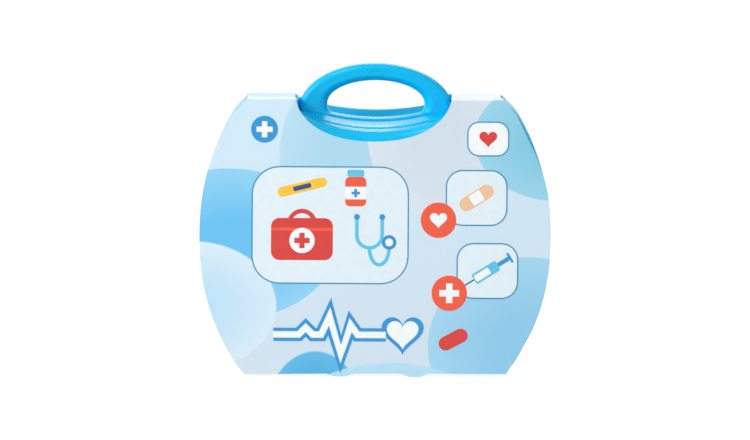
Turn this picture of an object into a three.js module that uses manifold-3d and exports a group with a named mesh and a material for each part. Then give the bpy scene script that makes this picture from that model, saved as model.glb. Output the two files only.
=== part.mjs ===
import * as THREE from "three";
import { mergeVertices } from "three/addons/utils/BufferGeometryUtils.js";
import Module from "manifold-3d";

// A toy doctor's carry case, closed and standing upright in its printed card wrap, with its play set
// stowed inside. Millimetres, +Z up. The printed front faces -Y and +X is to its right. The lid is the
// front shell and the base is the rear one. The origin is on the surface that the case stands on, under
// the middle of it.

const wasm = await Module();
wasm.setup();

// Driving sizes of the case
const caseWidth = 249.2; // across the bowed sides at half height
const caseHeight = 193.7; // the two shells, without feet, handle and card
const shellDepth = 47.2; // each shell, from the parting plane to its face
const sideRadius = 162; // bow of the sides
const cornerRadius = 14;
const edgeRadius = 7; // rounding between a face and the sides
const wall = 2.2;
const fit = 0.3; // gap between two pieces that touch
const partingGap = 0.3; // between the rims of the shells
const overrun = 3; // how far a cutting tool reaches past what it cuts

// Card wrap
const cardThickness = 0.5;
const cardOverhang = 0.4; // of the card's edge past the sides of the case
const cardSideRadius = 162;
const cardSlit = 18; // in front of the parting plane, where the top panel is slit
const cardHingeGap = 6; // each side of the hinge line, where the bottom panel is slit
const cardDrape = 1; // how far the card lies flat past each foot
const cardSlope = 11.8; // over which it rises from there to its bottom edge
const cutoutMargin = 1.5; // of the window for the handle, past the finger dish
const cutoutDepth = 44.8; // of the squared ellipse whose lower part is the window
const cutoutPower = 2.5;
const cutoutDrop = 29; // from the top of the shells to the window's lowest point

// Feet and hinge, at two places along the bottom
const footHeight = 2.5;
const footSpacing = 53.4;
const footWidth = 15.8;
const footLength = 22;
const footStart = 8; // from the hinge line
const knuckleWidth = 7; // the lid's middle knuckle
const knuckleGap = 0.4;
const hingePinRadius = 1.1;
const hingeBoreRadius = 1.35;
const hingeNotch = 0.8; // room round the knuckles in the opposite rim

// Finger dish and handle
const dishGap = 5.66; // between the dish and a latch's pocket
const saddleDrop = 14.3; // from the top of the shells to the low point of the dish at the handle
const saddleRadius = 150;
const frontRimDrop = 6.4; // the dish falls by this much from the handle to the front rim
const frontRimRadius = 130;
const rearRimRise = 2.4;
const rearRimRadius = 190;
const handleGap = 0.5; // from the handle's side to the end of the dish
const handleLegWidth = 20.3; // beside the opening
const handleRise = 33;
const handleCentreDrop = 8.4; // from the top of the shells to the centre of the outer curve
const handleBar = 12.1; // thickness of the bar over the opening
const gripLift = 4.6; // of the opening's widest line over that centre
const handleDepth = 18;
const handleRound = 4;
const handleRoot = 12; // of the drawn arch under the saddle, cut away again
const lipFillet = 5;
const lipThickness = 1.6;
const pegWidth = 10;
const pegDepth = 4.6;
const pegLength = 7;
const pegShare = 0.82; // of the handle's half width

// Latches
const latchInset = 20.8; // of its middle from the corner where the case's top and side would meet
const latchWidth = 17;
const latchReach = 14; // in front of the parting plane
const latchPivot = 12; // behind the parting plane
const latchThickness = 2.2;
const latchBarrelRadius = 1.9;
const latchPinRadius = 1;
const latchBoreRadius = 1.25;
const latchEyeWidth = 11;
const latchEyeLength = 7;
const latchBar = 3; // of the eye's front bar
const latchPocketGap = 2;
const latchPocketDepth = 7.5; // room for a fingertip under the latch's bar
const nubGap = 1.3; // behind the bar
const nubLength = 3;
const nubWidth = 8;

// Drawers, one to each side, under the tray
const drawerHeight = 104; // along Z
const drawerFloorGap = 1.5; // between a drawer and the base's floor, along Y
const drawerWall = 1.8;
const drawerFrontWall = 2.6;
const drawerGap = 0.5;
const dividerThickness = 2.4;
const gripNotchRadius = 14;
const railThickness = 2;

// Tray of recesses in the base
const trayThickness = 1.6;
const traySink = 3; // below the rim
const trayPocketDepth = 18.5; // from the tray's face to the floors of its recesses
const trayWall = 1.2;
const recessGap = 1.8;
const postRadius = 4;
const postXShare = 0.66; // of the case's half width
const postHighInset = 5.5; // from the tray's top edge
const postLowInset = 15.5; // from the bottom of the shells

// Recesses: three columns, with the stethoscope, the hammer and the monitor at their tops
const trayHead = 14.3; // from the tray's top edge to the recesses
const trayFoot = 20; // from the bottom of the shells to the lowest place for a recess
const traySide = 6.7; // from the tray's edge to the columns, level with the tops of the recesses
const columnGap = 1.5;
const rowGapShare = 0.256; // of the height that the left column leaves free
const recessRound = 4;

// Stethoscope, as wide as the other two columns leave room for
const stethoscopeHeight = 64;
const tubeRadius = 2.4;
const yokeRadius = 4.2;
const yokeLength = 10;
const chestRadius = 12;
const chestDepth = 7;
const diaphragmRim = 2.5; // of the chest piece round it
const diaphragmDepth = 1.6;
const chestCrownShare = 0.5; // of the chest piece's radius, its flat crown
const earTipRadius = 4;
const earTipLength = 8;
const chestSideGap = 7.8; // from the left end of the recess
const chestStem = 6.7;
const armRouteShares = [[0, 0.2], [0.12, 0.19], [0.38, 0.05], [0.67, 0.18], [0.98, 0.42]]; // ear tip to yoke
const tubeHighShares = [[0.5, 0.52], [0.84, 0.36], [0.9, -0.1]]; // of the half width and half height
const tubeLowShares = [[0.7, -0.52], [0.29, -0.58], [0, -0.56]]; // from the chest piece's stem to the right end
const yokeShare = [0, 0.47];
const chestDropShare = -0.52; // of the half height

// Monitor
const monitorWidth = 46;
const monitorHeight = 40;
const monitorDepth = 15;
const monitorRound = 6;
const displayWidth = 34;
const displayHeight = 18;
const displayRise = 0.8;
const displayPlaceShare = 0.22; // of its height, above its middle
const buttonPlaceShare = 0.31; // of its height, below its middle
const buttonRadius = 3.4;
const buttonSpacing = 12;
const buttonRise = 1.6;

// Hammer
const hammerLength = 96;
const hammerHeadWidth = 32;
const hammerHeadRadius = 7;
const hammerFaceRadius = 8.4;
const hammerFaceDepth = 4;
const hammerGripRadius = 5;
const hammerNeckRadius = 3.2;
const hammerBore = 2.2;
const hammerGripShare = 0.45; // of its length

// Syringe
const barrelRadius = 8.6;
const barrelWall = 1.4;
const barrelLength = 52;
const flangeRise = 0.6; // past the barrel
const flangeThickness = 2.2;
const nozzleRadius = 2.4;
const nozzleLength = 9;
const plungerTravel = 26;
const plungerRodRadius = 3;
const plungerHeadLength = 6;
const plungerStickOut = 10; // of the rod, pushed home

// Thermometer
const thermometerLength = 86;
const thermometerBodyRadius = 9.5;
const thermometerTipRadius = 4;
const thermometerThickness = 9;
const thermometerRound = 1.6;
const windowWidth = 20;
const windowHeight = 8;
const windowRise = 0.6;
const windowPlaceShare = 0.26; // of its length, from its middle

// Medicine bottle, lying
const bottleRadius = 9;
const bottleLength = 34;
const bottleNeckRadius = 5.5;
const bottleNeckLength = 5;
const capRadius = 7.4;
const capLength = 9;
const bottleRound = 2;

// Tools in the drawers
const forcepsEndGap = 4.2; // to the drawer's ends
const forcepsWidth = 9;
const forcepsThickness = 4.5;
const forcepsLeg = 3.2;
const forcepsSpread = 16;
const forcepsBendShares = [0.2, 0.1, 0.7]; // of its half length: outer bend, inner bend and the joint's end
const scissorsEndGap = 8.2; // to the drawer's ends
const scissorsBlade = 9;
const scissorsThickness = 3;
const scissorsLoopRadius = 11;
const scissorsLoopHole = 7;
const scissorsPivotShare = 0.56; // of the length from the loops to the tips
const scissorsTipShare = 0.4; // of half the blade's width
const scissorsShankShare = 0.6; // of half the blade's width
const scissorsRivetRadius = 1.8;
const scissorsRivetHead = 4;
const scissorsRivetHeadDepth = 1.2;
const drawerPlaceShare = 0.46; // of the case's half width

// Inside the lid
const boardThickness = 1.6;
const boardMargin = 4.5;
const boardTopShare = 0.36; // of the case's height, above the middle
const boardLowShare = 0.33; // of the case's height, below the middle
const boardRound = 12;
const emblemSize = 14;
const emblemArm = 5;
const emblemRise = 1.2;
const railLength = 140;
const railHeight = 9;
const railDepth = 2.4;
const railDrop = 5.8; // under the cross
const hookRadius = 1.7;
const hookReach = 17;
const hookTip = 7;
const glassesHookShare = 0.356; // of the rail's half length
const glassesHookGap = 4.6; // from the glasses to the next hook
const bagHookGap = 8.2; // from the hanging bag to that hook
const shelfLength = 124;
const shelfDepth = 24;
const shelfThickness = 2;
const shelfLip = 8;
const shelfDrop = 81.4; // from the rail's middle
const medicineWidth = 26;
const medicineHeight = 36;
const medicineGap = 2.4; // in the depth of the shelf
const medicineFlap = 1; // rise of the lid of the box over its body
const medicinePlaceShare = -0.3; // of the shelf's half length
const potGap = 0.7; // each side, in the depth of the shelf
const potHeight = 26;
const potLidHeight = 7;
const potPlaceShare = 0.4; // of the shelf's half length
const bagWidth = 30;
const bagHeight = 44;
const bagThickness = 6;
const bagRound = 7;
const bagHole = 3.2;
const bagNeckWidth = 12;
const bagPortRadius = 1.8;
const bagPortLength = 6;
const lensRadius = 18;
const lensHole = 14;
const lensDropShare = 0.7; // of the lens's radius, from the top of the bridge to its centre
const lensSpacing = 46;
const glassesThickness = 3;
const bridgeHeight = 3.6;
const templeLength = 78;
const templeHeight = 4.4;
const templeThickness = 2.4;
const templeTip = 10;
const hingeLug = 5;

// Curves
const sideSteps = 14;
const cornerSteps = 4;
const dishSteps = 7; // to each side of the middle
const archSteps = 20;
const windowSteps = 12; // to each side of the middle
const roundSteps = 2;
const rodSides = 14;
const smallSides = 8;
const routeSteps = 4; // to each stretch of a route

// Places worked out from the sizes
const caseBottom = cardThickness + fit + footHeight;
const caseTop = caseBottom + caseHeight;
const caseMiddle = caseBottom + caseHeight / 2;
const halfWidth = caseWidth / 2;
const cardHalf = halfWidth + cardOverhang;
const cardInside = shellDepth + fit;
const cardOutside = cardInside + cardThickness;
const cardTop = caseTop + fit + cardThickness;
const cardBottom = caseBottom - fit - cardThickness;
const footX = footSpacing / 2;
const hingeZ = caseBottom;
const knuckleRadius = footHeight;
const handleBack = handleDepth / 2;
const handleCentre = caseTop - handleCentreDrop;
const gripCentre = handleCentre + gripLift;
const saddleBottom = caseTop - saddleDrop;
const latchX = halfWidth - sag(caseHeight / 2, sideRadius) - latchInset;
const latchPocketHalf = latchWidth / 2 + latchPocketGap;
const dishHalfWidth = latchX - latchPocketHalf - dishGap;
const handleHalfWidth = dishHalfWidth - handleGap;
const gripHalfWidth = handleHalfWidth - handleLegWidth;
const gripRise = handleRise - handleBar - gripLift;
const cutoutHalfWidth = dishHalfWidth + cutoutMargin;
const latchPocketFloor = caseTop - latchPocketDepth;
const latchPinHalf = latchPocketHalf + wall / 2;
const latchPivotZ = caseTop - latchBarrelRadius;
const trayFace = traySink;
const recessFloor = trayFace + trayPocketDepth;
const trayTop = latchPocketFloor - wall - fit;
const drawerTopY = recessFloor + trayWall + fit + drawerGap;
const drawerFloorY = shellDepth - wall - drawerFloorGap;
const drawerInnerX = dividerThickness / 2 + drawerGap;
const drawerRoom = drawerHeight - 2 * drawerWall;
const forcepsLength = drawerRoom - 2 * forcepsEndGap;
const scissorsLength = drawerRoom - 2 * scissorsEndGap;
const boardBack = wall - shellDepth + fit;
const boardFace = boardBack + boardThickness;
const lidFixture = boardFace + fit; // where what is fixed to the board starts
const emblemZ = saddleBottom - frontRimDrop - wall - emblemSize;
const railZ = emblemZ - emblemSize / 2 - railDrop - railHeight / 2;
const shelfZ = railZ - shelfDrop;
const shelfRoom = shelfDepth - 2 * shelfThickness - 2 * fit;
const medicineDepth = shelfRoom - medicineGap;
const potRadius = shelfRoom / 2 - potGap;
const glassesHookX = (glassesHookShare * railLength) / 2;
const spareHookX = glassesHookX - lensSpacing / 2 - lensRadius - hingeLug - glassesHookGap - hookRadius;
const bagHookX = spareHookX - hookRadius - bagHookGap - bagWidth / 2;
const recessBottom = recessFloor - fit; // where what lies in a recess rests
const diaphragmRadius = chestRadius - diaphragmRim;
const flangeRadius = barrelRadius + flangeRise;

// Shape helpers. A shape is drawn in X and Z, seen from the front.
function solid(geometry) {
  const plain = geometry.index ? geometry.toNonIndexed() : geometry;
  const bare = new THREE.BufferGeometry().setAttribute("position", plain.getAttribute("position"));
  const merged = mergeVertices(bare, 1e-4);
  const mesh = new wasm.Mesh({
    numProp: 3,
    vertProperties: merged.attributes.position.array,
    triVerts: new Uint32Array(merged.index.array),
  });
  return new wasm.Manifold(mesh);
}

function join(...bodies) {
  return bodies.reduce((whole, body) => whole.add(body));
}

function cut(body, ...tools) {
  return tools.reduce((rest, tool) => rest.subtract(tool), body);
}

function box(x0, x1, y0, y1, z0, z1) {
  const geometry = new THREE.BoxGeometry(x1 - x0, y1 - y0, z1 - z0);
  geometry.translate((x0 + x1) / 2, (y0 + y1) / 2, (z0 + z1) / 2);
  return solid(geometry);
}

// A shape drawn in X and Z, extruded along Y, with both ends rounded by round.
function prism(shape, y0, y1, round = 0) {
  const geometry = new THREE.ExtrudeGeometry(shape, {
    depth: y1 - y0 - 2 * round,
    bevelEnabled: round > 0,
    bevelThickness: round,
    bevelSize: round,
    bevelOffset: -round,
    bevelSegments: roundSteps,
  });
  geometry.rotateX(Math.PI / 2);
  geometry.translate(0, y1 - round, 0);
  return solid(geometry);
}

// A shape drawn in X and Y, extruded along Z.
function slab(shape, z0, z1) {
  const geometry = new THREE.ExtrudeGeometry(shape, {
    depth: z1 - z0,
    bevelEnabled: false,
  });
  geometry.translate(0, 0, z0);
  return solid(geometry);
}

// A round bar along one axis, from one place on it to another, centred on the other two coordinates.
function rod(axis, radius, from, to, a, b, sides = rodSides) {
  const geometry = new THREE.CylinderGeometry(radius, radius, to - from, sides);
  const middle = (from + to) / 2;
  if (axis === "x") geometry.rotateZ(Math.PI / 2).translate(middle, a, b);
  if (axis === "y") geometry.translate(a, middle, b);
  if (axis === "z") geometry.rotateX(Math.PI / 2).translate(a, b, middle);
  return solid(geometry);
}

// A closed or axis-to-axis profile of [radius, place along the axis] points, turned round an axis.
function turned(axis, profile, x, y, z, sides = rodSides) {
  const geometry = new THREE.LatheGeometry(profile.map(([r, h]) => new THREE.Vector2(r, h)), sides);
  if (axis === "x") geometry.rotateZ(-Math.PI / 2);
  if (axis === "z") geometry.rotateX(Math.PI / 2);
  geometry.translate(x, y, z);
  return solid(geometry);
}

function polygon(points) {
  return new THREE.Shape(points.map(([x, z]) => new THREE.Vector2(x, z)));
}

// Points along an arc, both ends included
function arc(x, z, radius, from, to, steps = cornerSteps) {
  const points = [];
  for (let i = 0; i <= steps; i += 1) {
    const turn = from + (i / steps) * (to - from);
    points.push([x + radius * Math.cos(turn), z + radius * Math.sin(turn)]);
  }
  return points;
}

function roundedRectangle(x0, x1, z0, z1, radius) {
  return polygon([
    ...arc(x1 - radius, z1 - radius, radius, 0, Math.PI / 2),
    ...arc(x0 + radius, z1 - radius, radius, Math.PI / 2, Math.PI),
    ...arc(x0 + radius, z0 + radius, radius, Math.PI, 1.5 * Math.PI),
    ...arc(x1 - radius, z0 + radius, radius, 1.5 * Math.PI, 2 * Math.PI),
  ]);
}

// The outline round two circles one above the other, joined by straight sides.
function taperedCapsule(x, lowZ, lowRadius, highZ, highRadius) {
  const lean = Math.asin((highRadius - lowRadius) / (highZ - lowZ));
  return polygon([
    ...arc(x, highZ, highRadius, -lean, Math.PI + lean, 2 * cornerSteps),
    ...arc(x, lowZ, lowRadius, Math.PI + lean, 2 * Math.PI - lean, 2 * cornerSteps),
  ]);
}

// Sections of equal length, each a list of [x, z] at a place along Y, skinned into one closed body.
function loft(sections) {
  const count = sections[0].outline.length;
  const points = sections.flatMap(({ y, outline }) => outline.map(([x, z]) => [x, y, z]));
  const faces = [];
  for (let s = 0; s + 1 < sections.length; s += 1) {
    for (let i = 0; i < count; i += 1) {
      const a = s * count + i;
      const b = s * count + ((i + 1) % count);
      faces.push([a, b, b + count], [a, b + count, a + count]);
    }
  }
  const flat = sections[0].outline.map(([x, z]) => new THREE.Vector2(x, z));
  const last = (sections.length - 1) * count;
  for (const [a, b, c] of THREE.ShapeUtils.triangulateShape(flat, [])) {
    faces.push([a, c, b], [last + a, last + b, last + c]);
  }
  const outwards = THREE.ShapeUtils.area(flat) * (sections[1].y - sections[0].y) < 0;
  const order = faces.flatMap(([a, b, c]) => (outwards ? [a, b, c] : [a, c, b]));
  const geometry = new THREE.BufferGeometry();
  geometry.setAttribute("position", new THREE.Float32BufferAttribute(points.flat(), 3));
  geometry.setIndex(order);
  return solid(geometry);
}

// Height of a shallow arc over its lowest point.
function sag(x, radius) {
  return radius - Math.sqrt(radius * radius - x * x);
}

// Materials
function plastic(color, roughness = 0.35) {
  return new THREE.MeshStandardMaterial({ color, roughness, metalness: 0 });
}
const caseBlue = plastic("#12a5e6", 0.28);
const latchBlue = plastic("#35b9ea", 0.3);
const steel = new THREE.MeshStandardMaterial({ color: "#b9bec4", roughness: 0.3, metalness: 1 });
const printedCard = plastic("#a5d6ef", 0.45);
const trayWhite = plastic("#eef1f5", 0.35);
const drawerRed = plastic("#e5392b", 0.3);
const toolBlue = plastic("#1c78d2", 0.3);
const toyYellow = plastic("#ffcb1f", 0.3);
const tubeCyan = plastic("#54c6e6", 0.35);
const clearPlastic = new THREE.MeshStandardMaterial({
  color: "#dfeef6",
  roughness: 0.1,
  metalness: 0,
  transparent: true,
  opacity: 0.45,
});
const displayNavy = plastic("#23306f", 0.2);
const boardBlue = plastic("#1f8fd6", 0.5);

const part = new THREE.Group();

function add(name, body, material) {
  const made = body.getMesh();
  const geometry = new THREE.BufferGeometry();
  geometry.setAttribute("position", new THREE.BufferAttribute(made.vertProperties, made.numProp));
  geometry.setIndex(new THREE.BufferAttribute(made.triVerts, 1));
  const mesh = new THREE.Mesh(geometry, material);
  mesh.name = name;
  part.add(mesh);
  return mesh;
}

// Outline of the shells: bowed sides, straight top and bottom, rounded corners, drawn inset from the outside.
function caseOutline(inset) {
  const sideX = halfWidth - sideRadius;
  const cornerRise = caseHeight / 2 - cornerRadius;
  const reach = sideRadius - cornerRadius;
  const cornerX = sideX + Math.sqrt(reach * reach - cornerRise * cornerRise);
  const turn = Math.atan2(cornerRise, cornerX - sideX);
  const high = caseMiddle + cornerRise;
  const low = caseMiddle - cornerRise;
  const side = sideRadius - inset;
  const corner = cornerRadius - inset;
  return polygon([
    ...arc(sideX, caseMiddle, side, -turn, turn, sideSteps),
    ...arc(cornerX, high, corner, turn, Math.PI / 2).slice(1),
    ...arc(-cornerX, high, corner, Math.PI / 2, Math.PI - turn),
    ...arc(-sideX, caseMiddle, side, Math.PI - turn, Math.PI + turn, sideSteps).slice(1),
    ...arc(-cornerX, low, corner, Math.PI + turn, 1.5 * Math.PI).slice(1),
    ...arc(cornerX, low, corner, 1.5 * Math.PI, 2 * Math.PI - turn).slice(0, -1),
  ]);
}

// The inside half width of a shell at a height, less a margin.
function roomAt(z, margin) {
  const rise = z - caseMiddle;
  return halfWidth - sideRadius + Math.sqrt((sideRadius - margin) ** 2 - rise * rise);
}

// The half of the finger dish that side -1, the lid, or side 1, the base, has, grown by a margin.
function dish(side, grow) {
  const half = dishHalfWidth + grow;
  const rim = side < 0 ? [frontRimRadius, -frontRimDrop] : [rearRimRadius, rearRimRise];
  const outline = (radius, lift) => {
    const floor = [];
    for (let i = -dishSteps; i <= dishSteps; i += 1) {
      const x = (i / dishSteps) * dishHalfWidth;
      floor.push([(i / dishSteps) * half, saddleBottom + lift - grow + sag(x, radius)]);
    }
    const high = caseTop + handleRise + overrun;
    return [...floor, [half, high], [-half, high]];
  };
  return loft([
    { y: -side * overrun, outline: outline(saddleRadius, 0) },
    { y: side * handleBack, outline: outline(saddleRadius, 0) },
    { y: side * shellDepth, outline: outline(...rim) },
    { y: side * (shellDepth + overrun), outline: outline(...rim) },
  ]);
}

// What is on a side of the parting plane, from a place on it outwards.
function halfSpace(side, from) {
  const far = shellDepth * 3;
  return box(-caseWidth, caseWidth, ...(side < 0 ? [-far, -from] : [from, far]), -caseHeight, 2 * caseHeight);
}

function mirrored(body) {
  return body.mirror([1, 0, 0]);
}

// Both latch pockets of a shell, grown by a margin all round.
function latchPockets(grow) {
  const rear = latchPivot + latchBarrelRadius + latchPocketGap + grow;
  const front = -latchReach - latchPocketGap - grow;
  const half = latchPocketHalf + grow;
  const low = latchPocketFloor - grow;
  const pocket = box(latchX - half, latchX + half, front, rear, low, caseTop + overrun);
  return join(pocket, mirrored(pocket));
}

// A shell before its fittings.
function tub(side) {
  const outer = prism(caseOutline(0), -shellDepth, shellDepth, edgeRadius);
  const inner = prism(caseOutline(wall), wall - shellDepth, shellDepth - wall, edgeRadius - wall);
  const room = cut(inner, dish(side, wall), latchPockets(wall));
  const whole = cut(outer, dish(side, 0), latchPockets(0), room);
  return whole.intersect(halfSpace(side, partingGap / 2));
}

// Feet and knuckles of a shell, with the room that its rim leaves for the other shell's knuckles.
function hingeWork(side, body) {
  const middle = knuckleWidth / 2;
  const outer = footWidth / 2;
  const inner = [[-middle, middle]];
  const pair = [[-outer, -middle - knuckleGap], [middle + knuckleGap, outer]];
  const [spans, other] = side < 0 ? [inner, pair] : [pair, inner];
  const away = (from, to) => (side < 0 ? [-to, -from] : [from, to]);
  const low = caseBottom - footHeight;
  let made = body;
  for (const x of [-footX, footX]) {
    for (const [a, b] of other) {
      const room = knuckleRadius + hingeNotch;
      const edge = knuckleGap / 2;
      made = cut(made, box(x + a - edge, x + b + edge, ...away(-overrun, room), low, hingeZ + room));
    }
    const high = caseBottom + wall / 2;
    made = join(made, box(x - outer, x + outer, ...away(footStart, footStart + footLength), low, high));
    for (const [a, b] of spans) {
      const web = box(x + a, x + b, ...away(0, footStart + wall), low, high);
      made = join(made, web, rod("x", knuckleRadius, x + a, x + b, 0, hingeZ));
    }
    made = cut(made, rod("x", hingeBoreRadius, x - outer - overrun, x + outer + overrun, 0, hingeZ));
  }
  return made;
}

function handlePegs(grow) {
  const x = handleHalfWidth * pegShare;
  const half = pegWidth / 2 + grow;
  const front = -handleBack / 2 - pegDepth / 2 - grow;
  const rear = -handleBack / 2 + pegDepth / 2 + grow;
  const high = saddleBottom + sag(x + half, saddleRadius) + handleRound;
  const low = saddleBottom + sag(x, saddleRadius) - pegLength - grow;
  const peg = box(x - half, x + half, front, rear, low, high);
  return join(peg, mirrored(peg));
}

// Lid: the front shell
function lidShell() {
  let body = hingeWork(-1, tub(-1));
  const nubFront = -latchReach + latchBar + nubGap;
  const nub = box(
    latchX - nubWidth / 2,
    latchX + nubWidth / 2,
    nubFront,
    nubFront + nubLength,
    latchPocketFloor - wall / 2,
    caseTop - latchThickness - 2 * fit,
  );
  body = join(body, nub, mirrored(nub));
  return cut(body, handlePegs(fit));
}

// Outline of a drawer's space in X and Z on the right-hand side, out to the case's side.
function drawerOutline(inner, outset, half) {
  const points = [[inner, caseMiddle - half]];
  for (let i = -cornerSteps; i <= cornerSteps; i += 1) {
    const z = caseMiddle + (i / cornerSteps) * half;
    points.push([roomAt(z, outset), z]);
  }
  points.push([inner, caseMiddle + half]);
  return polygon(points);
}

// Base: the rear shell, with drawer rails, a divider and the posts that the tray stands on
function baseShell() {
  let body = hingeWork(1, tub(1));
  const floor = shellDepth - wall / 2;
  const half = drawerHeight / 2;
  const railReach = roomAt(caseMiddle + half, wall) - wall;
  const thick = dividerThickness / 2;
  const rib = box(-thick, thick, drawerTopY, floor, caseMiddle - half, caseMiddle + half);
  const high = caseMiddle + half + drawerGap;
  const rail = box(-railReach, railReach, drawerTopY, floor, high, high + railThickness);
  const low = caseMiddle - half - drawerGap;
  const lowRail = box(-railReach, railReach, drawerTopY, floor, low - railThickness, low);
  body = join(body, rib, rail, lowRail);
  const postX = halfWidth * postXShare;
  for (const z of [caseBottom + postLowInset, trayTop - postHighInset]) {
    for (const x of [-postX, postX]) {
      body = join(body, rod("y", postRadius, trayFace + trayThickness + fit, floor, x, z));
    }
  }
  const slot = prism(
    drawerOutline(roomAt(caseMiddle + half, 2 * wall) - wall, -overrun, half + drawerGap),
    drawerTopY - drawerGap,
    drawerFloorY + drawerGap,
  );
  body = cut(body, slot, mirrored(slot));
  const bore = rod(
    "x",
    latchBoreRadius,
    latchX - latchPinHalf - fit,
    latchX + latchPinHalf + fit,
    latchPivot,
    latchPivotZ,
  );
  return cut(body, bore, mirrored(bore));
}

// Handle: a ring moulded in two halves, on the lid. Its lower bar is a low lip along the dish.
function archOutline() {
  const low = saddleBottom - handleRoot;
  const outer = [[handleHalfWidth, low], [-handleHalfWidth, low]];
  for (let i = archSteps; i >= 0; i -= 1) {
    const turn = (i / archSteps) * Math.PI;
    outer.push([handleHalfWidth * Math.cos(turn), handleCentre + handleRise * Math.sin(turn)]);
  }
  const shape = polygon(outer);
  const grip = [];
  for (let i = 0; i <= archSteps; i += 1) {
    const turn = (i / archSteps) * Math.PI;
    grip.push([gripHalfWidth * Math.cos(turn), gripCentre + gripRise * Math.sin(turn)]);
  }
  const lip = saddleBottom + fit + lipThickness;
  const flat = gripHalfWidth - lipFillet;
  const cornerZ = lip + sag(flat, saddleRadius) + lipFillet;
  grip.push(...arc(-flat, cornerZ, lipFillet, Math.PI, 1.5 * Math.PI));
  for (let i = 1 - dishSteps; i < dishSteps; i += 1) {
    const x = (i / dishSteps) * flat;
    grip.push([x, lip + sag(x, saddleRadius)]);
  }
  grip.push(...arc(flat, cornerZ, lipFillet, 1.5 * Math.PI, 2 * Math.PI));
  shape.holes.push(new THREE.Path(grip.map(([x, z]) => new THREE.Vector2(x, z))));
  return shape;
}

// Everything under the dish's saddle, raised by the fit.
function underSaddle() {
  const points = [];
  for (let i = -dishSteps; i <= dishSteps; i += 1) {
    const x = (i / dishSteps) * dishHalfWidth;
    points.push([x, saddleBottom + fit + sag(x, saddleRadius)]);
  }
  points.push([dishHalfWidth, caseMiddle], [-dishHalfWidth, caseMiddle]);
  return prism(polygon(points), -shellDepth, shellDepth);
}

function carryHandle() {
  const arch = cut(prism(archOutline(), -handleBack, handleBack, handleRound), underSaddle());
  const front = join(arch.intersect(halfSpace(-1, fit / 2)), handlePegs(0));
  const cover = arch.intersect(halfSpace(1, fit / 2));
  add("carry_handle", front, caseBlue);
  add("handle_back_cover", cover, caseBlue);
}

// Latches: a ring flap on each side of the handle, pinned in the base and reaching over the lid's nub
function latch(side) {
  const shape = roundedRectangle(
    -latchWidth / 2,
    latchWidth / 2,
    -latchReach,
    latchPivot,
    latchBar,
  );
  const eyeFront = -latchReach + latchBar;
  const eye = roundedRectangle(
    -latchEyeWidth / 2,
    latchEyeWidth / 2,
    eyeFront,
    eyeFront + latchEyeLength,
    latchEyeLength / 2 - fit,
  );
  const top = caseTop - fit;
  const plate = cut(slab(shape, top - latchThickness, top), slab(eye, latchPocketFloor, caseTop));
  const barrel = rod("x", latchBarrelRadius, -latchWidth / 2, latchWidth / 2, latchPivot, latchPivotZ);
  const bore = rod("x", latchBoreRadius, -latchWidth, latchWidth, latchPivot, latchPivotZ);
  return cut(join(plate, barrel), bore).translate([side * latchX, 0, 0]);
}

function latches() {
  for (const [name, side] of [["left", -1], ["right", 1]]) {
    add("latch_" + name, latch(side), latchBlue);
    const x = side * latchX;
    const pin = rod("x", latchPinRadius, x - latchPinHalf, x + latchPinHalf, latchPivot, latchPivotZ);
    add("latch_pin_" + name, pin, steel);
  }
}

function hingePins() {
  const half = footWidth / 2;
  for (const [name, x] of [["left", -footX], ["right", footX]]) {
    add("hinge_pin_" + name, rod("x", hingePinRadius, x - half, x + half, 0, hingeZ), steel);
  }
}

// Card wrap: the heights of its bottom edge, which drapes under the feet
function cardBottomLine() {
  const flat = footWidth / 2 + cardDrape;
  const corner = cardSideX(cardBottom);
  const line = [[-corner, cardBottom]];
  for (const x of [-footX, footX]) {
    line.push([x - flat - cardSlope, cardBottom], [x - flat, 0]);
    line.push([x + flat, 0], [x + flat + cardSlope, cardBottom]);
  }
  line.push([corner, cardBottom]);
  return line;
}

function cardSideX(z) {
  const rise = z - caseMiddle;
  return cardHalf - cardSideRadius + Math.sqrt(cardSideRadius ** 2 - rise * rise);
}

// Half the width of the window for the handle at a height
function windowHalf(z) {
  const share = 1 - (z - caseTop + cutoutDrop) / cutoutDepth;
  return cutoutHalfWidth * (1 - share ** cutoutPower) ** (1 / cutoutPower);
}

// The front or rear panel: bowed sides, and a window for the handle that is open at the top
function cardPanelOutline(top) {
  const centre = cardHalf - cardSideRadius;
  const turnHigh = Math.asin((top - caseMiddle) / cardSideRadius);
  const turnLow = Math.asin((cardBottom - caseMiddle) / cardSideRadius);
  const points = [
    ...cardBottomLine(),
    ...arc(centre, caseMiddle, cardSideRadius, turnLow, turnHigh, sideSteps),
  ];
  const low = caseTop - cutoutDrop;
  for (let i = -windowSteps; i <= windowSteps; i += 1) {
    const z = low + (i / windowSteps) ** 2 * (top - low);
    points.push([-Math.sign(i) * windowHalf(z), z]);
  }
  points.push(...arc(-centre, caseMiddle, cardSideRadius, Math.PI - turnHigh, Math.PI - turnLow, sideSteps));
  return polygon(points);
}

function cardBottomPanel(y0, y1) {
  const line = cardBottomLine();
  const raised = [...line].reverse().map(([x, z]) => [x, z + cardThickness]);
  return prism(polygon([...line, ...raised]), y0, y1);
}

// One side of the top panel, from the window to the case's corner
function cardTopPanel(side, y0, y1) {
  const corner = cardSideX(cardTop);
  const inner = windowHalf(cardTop);
  const x = side < 0 ? [-corner, -inner] : [inner, corner];
  return box(...x, y0, y1, cardTop - cardThickness, cardTop);
}

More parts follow.
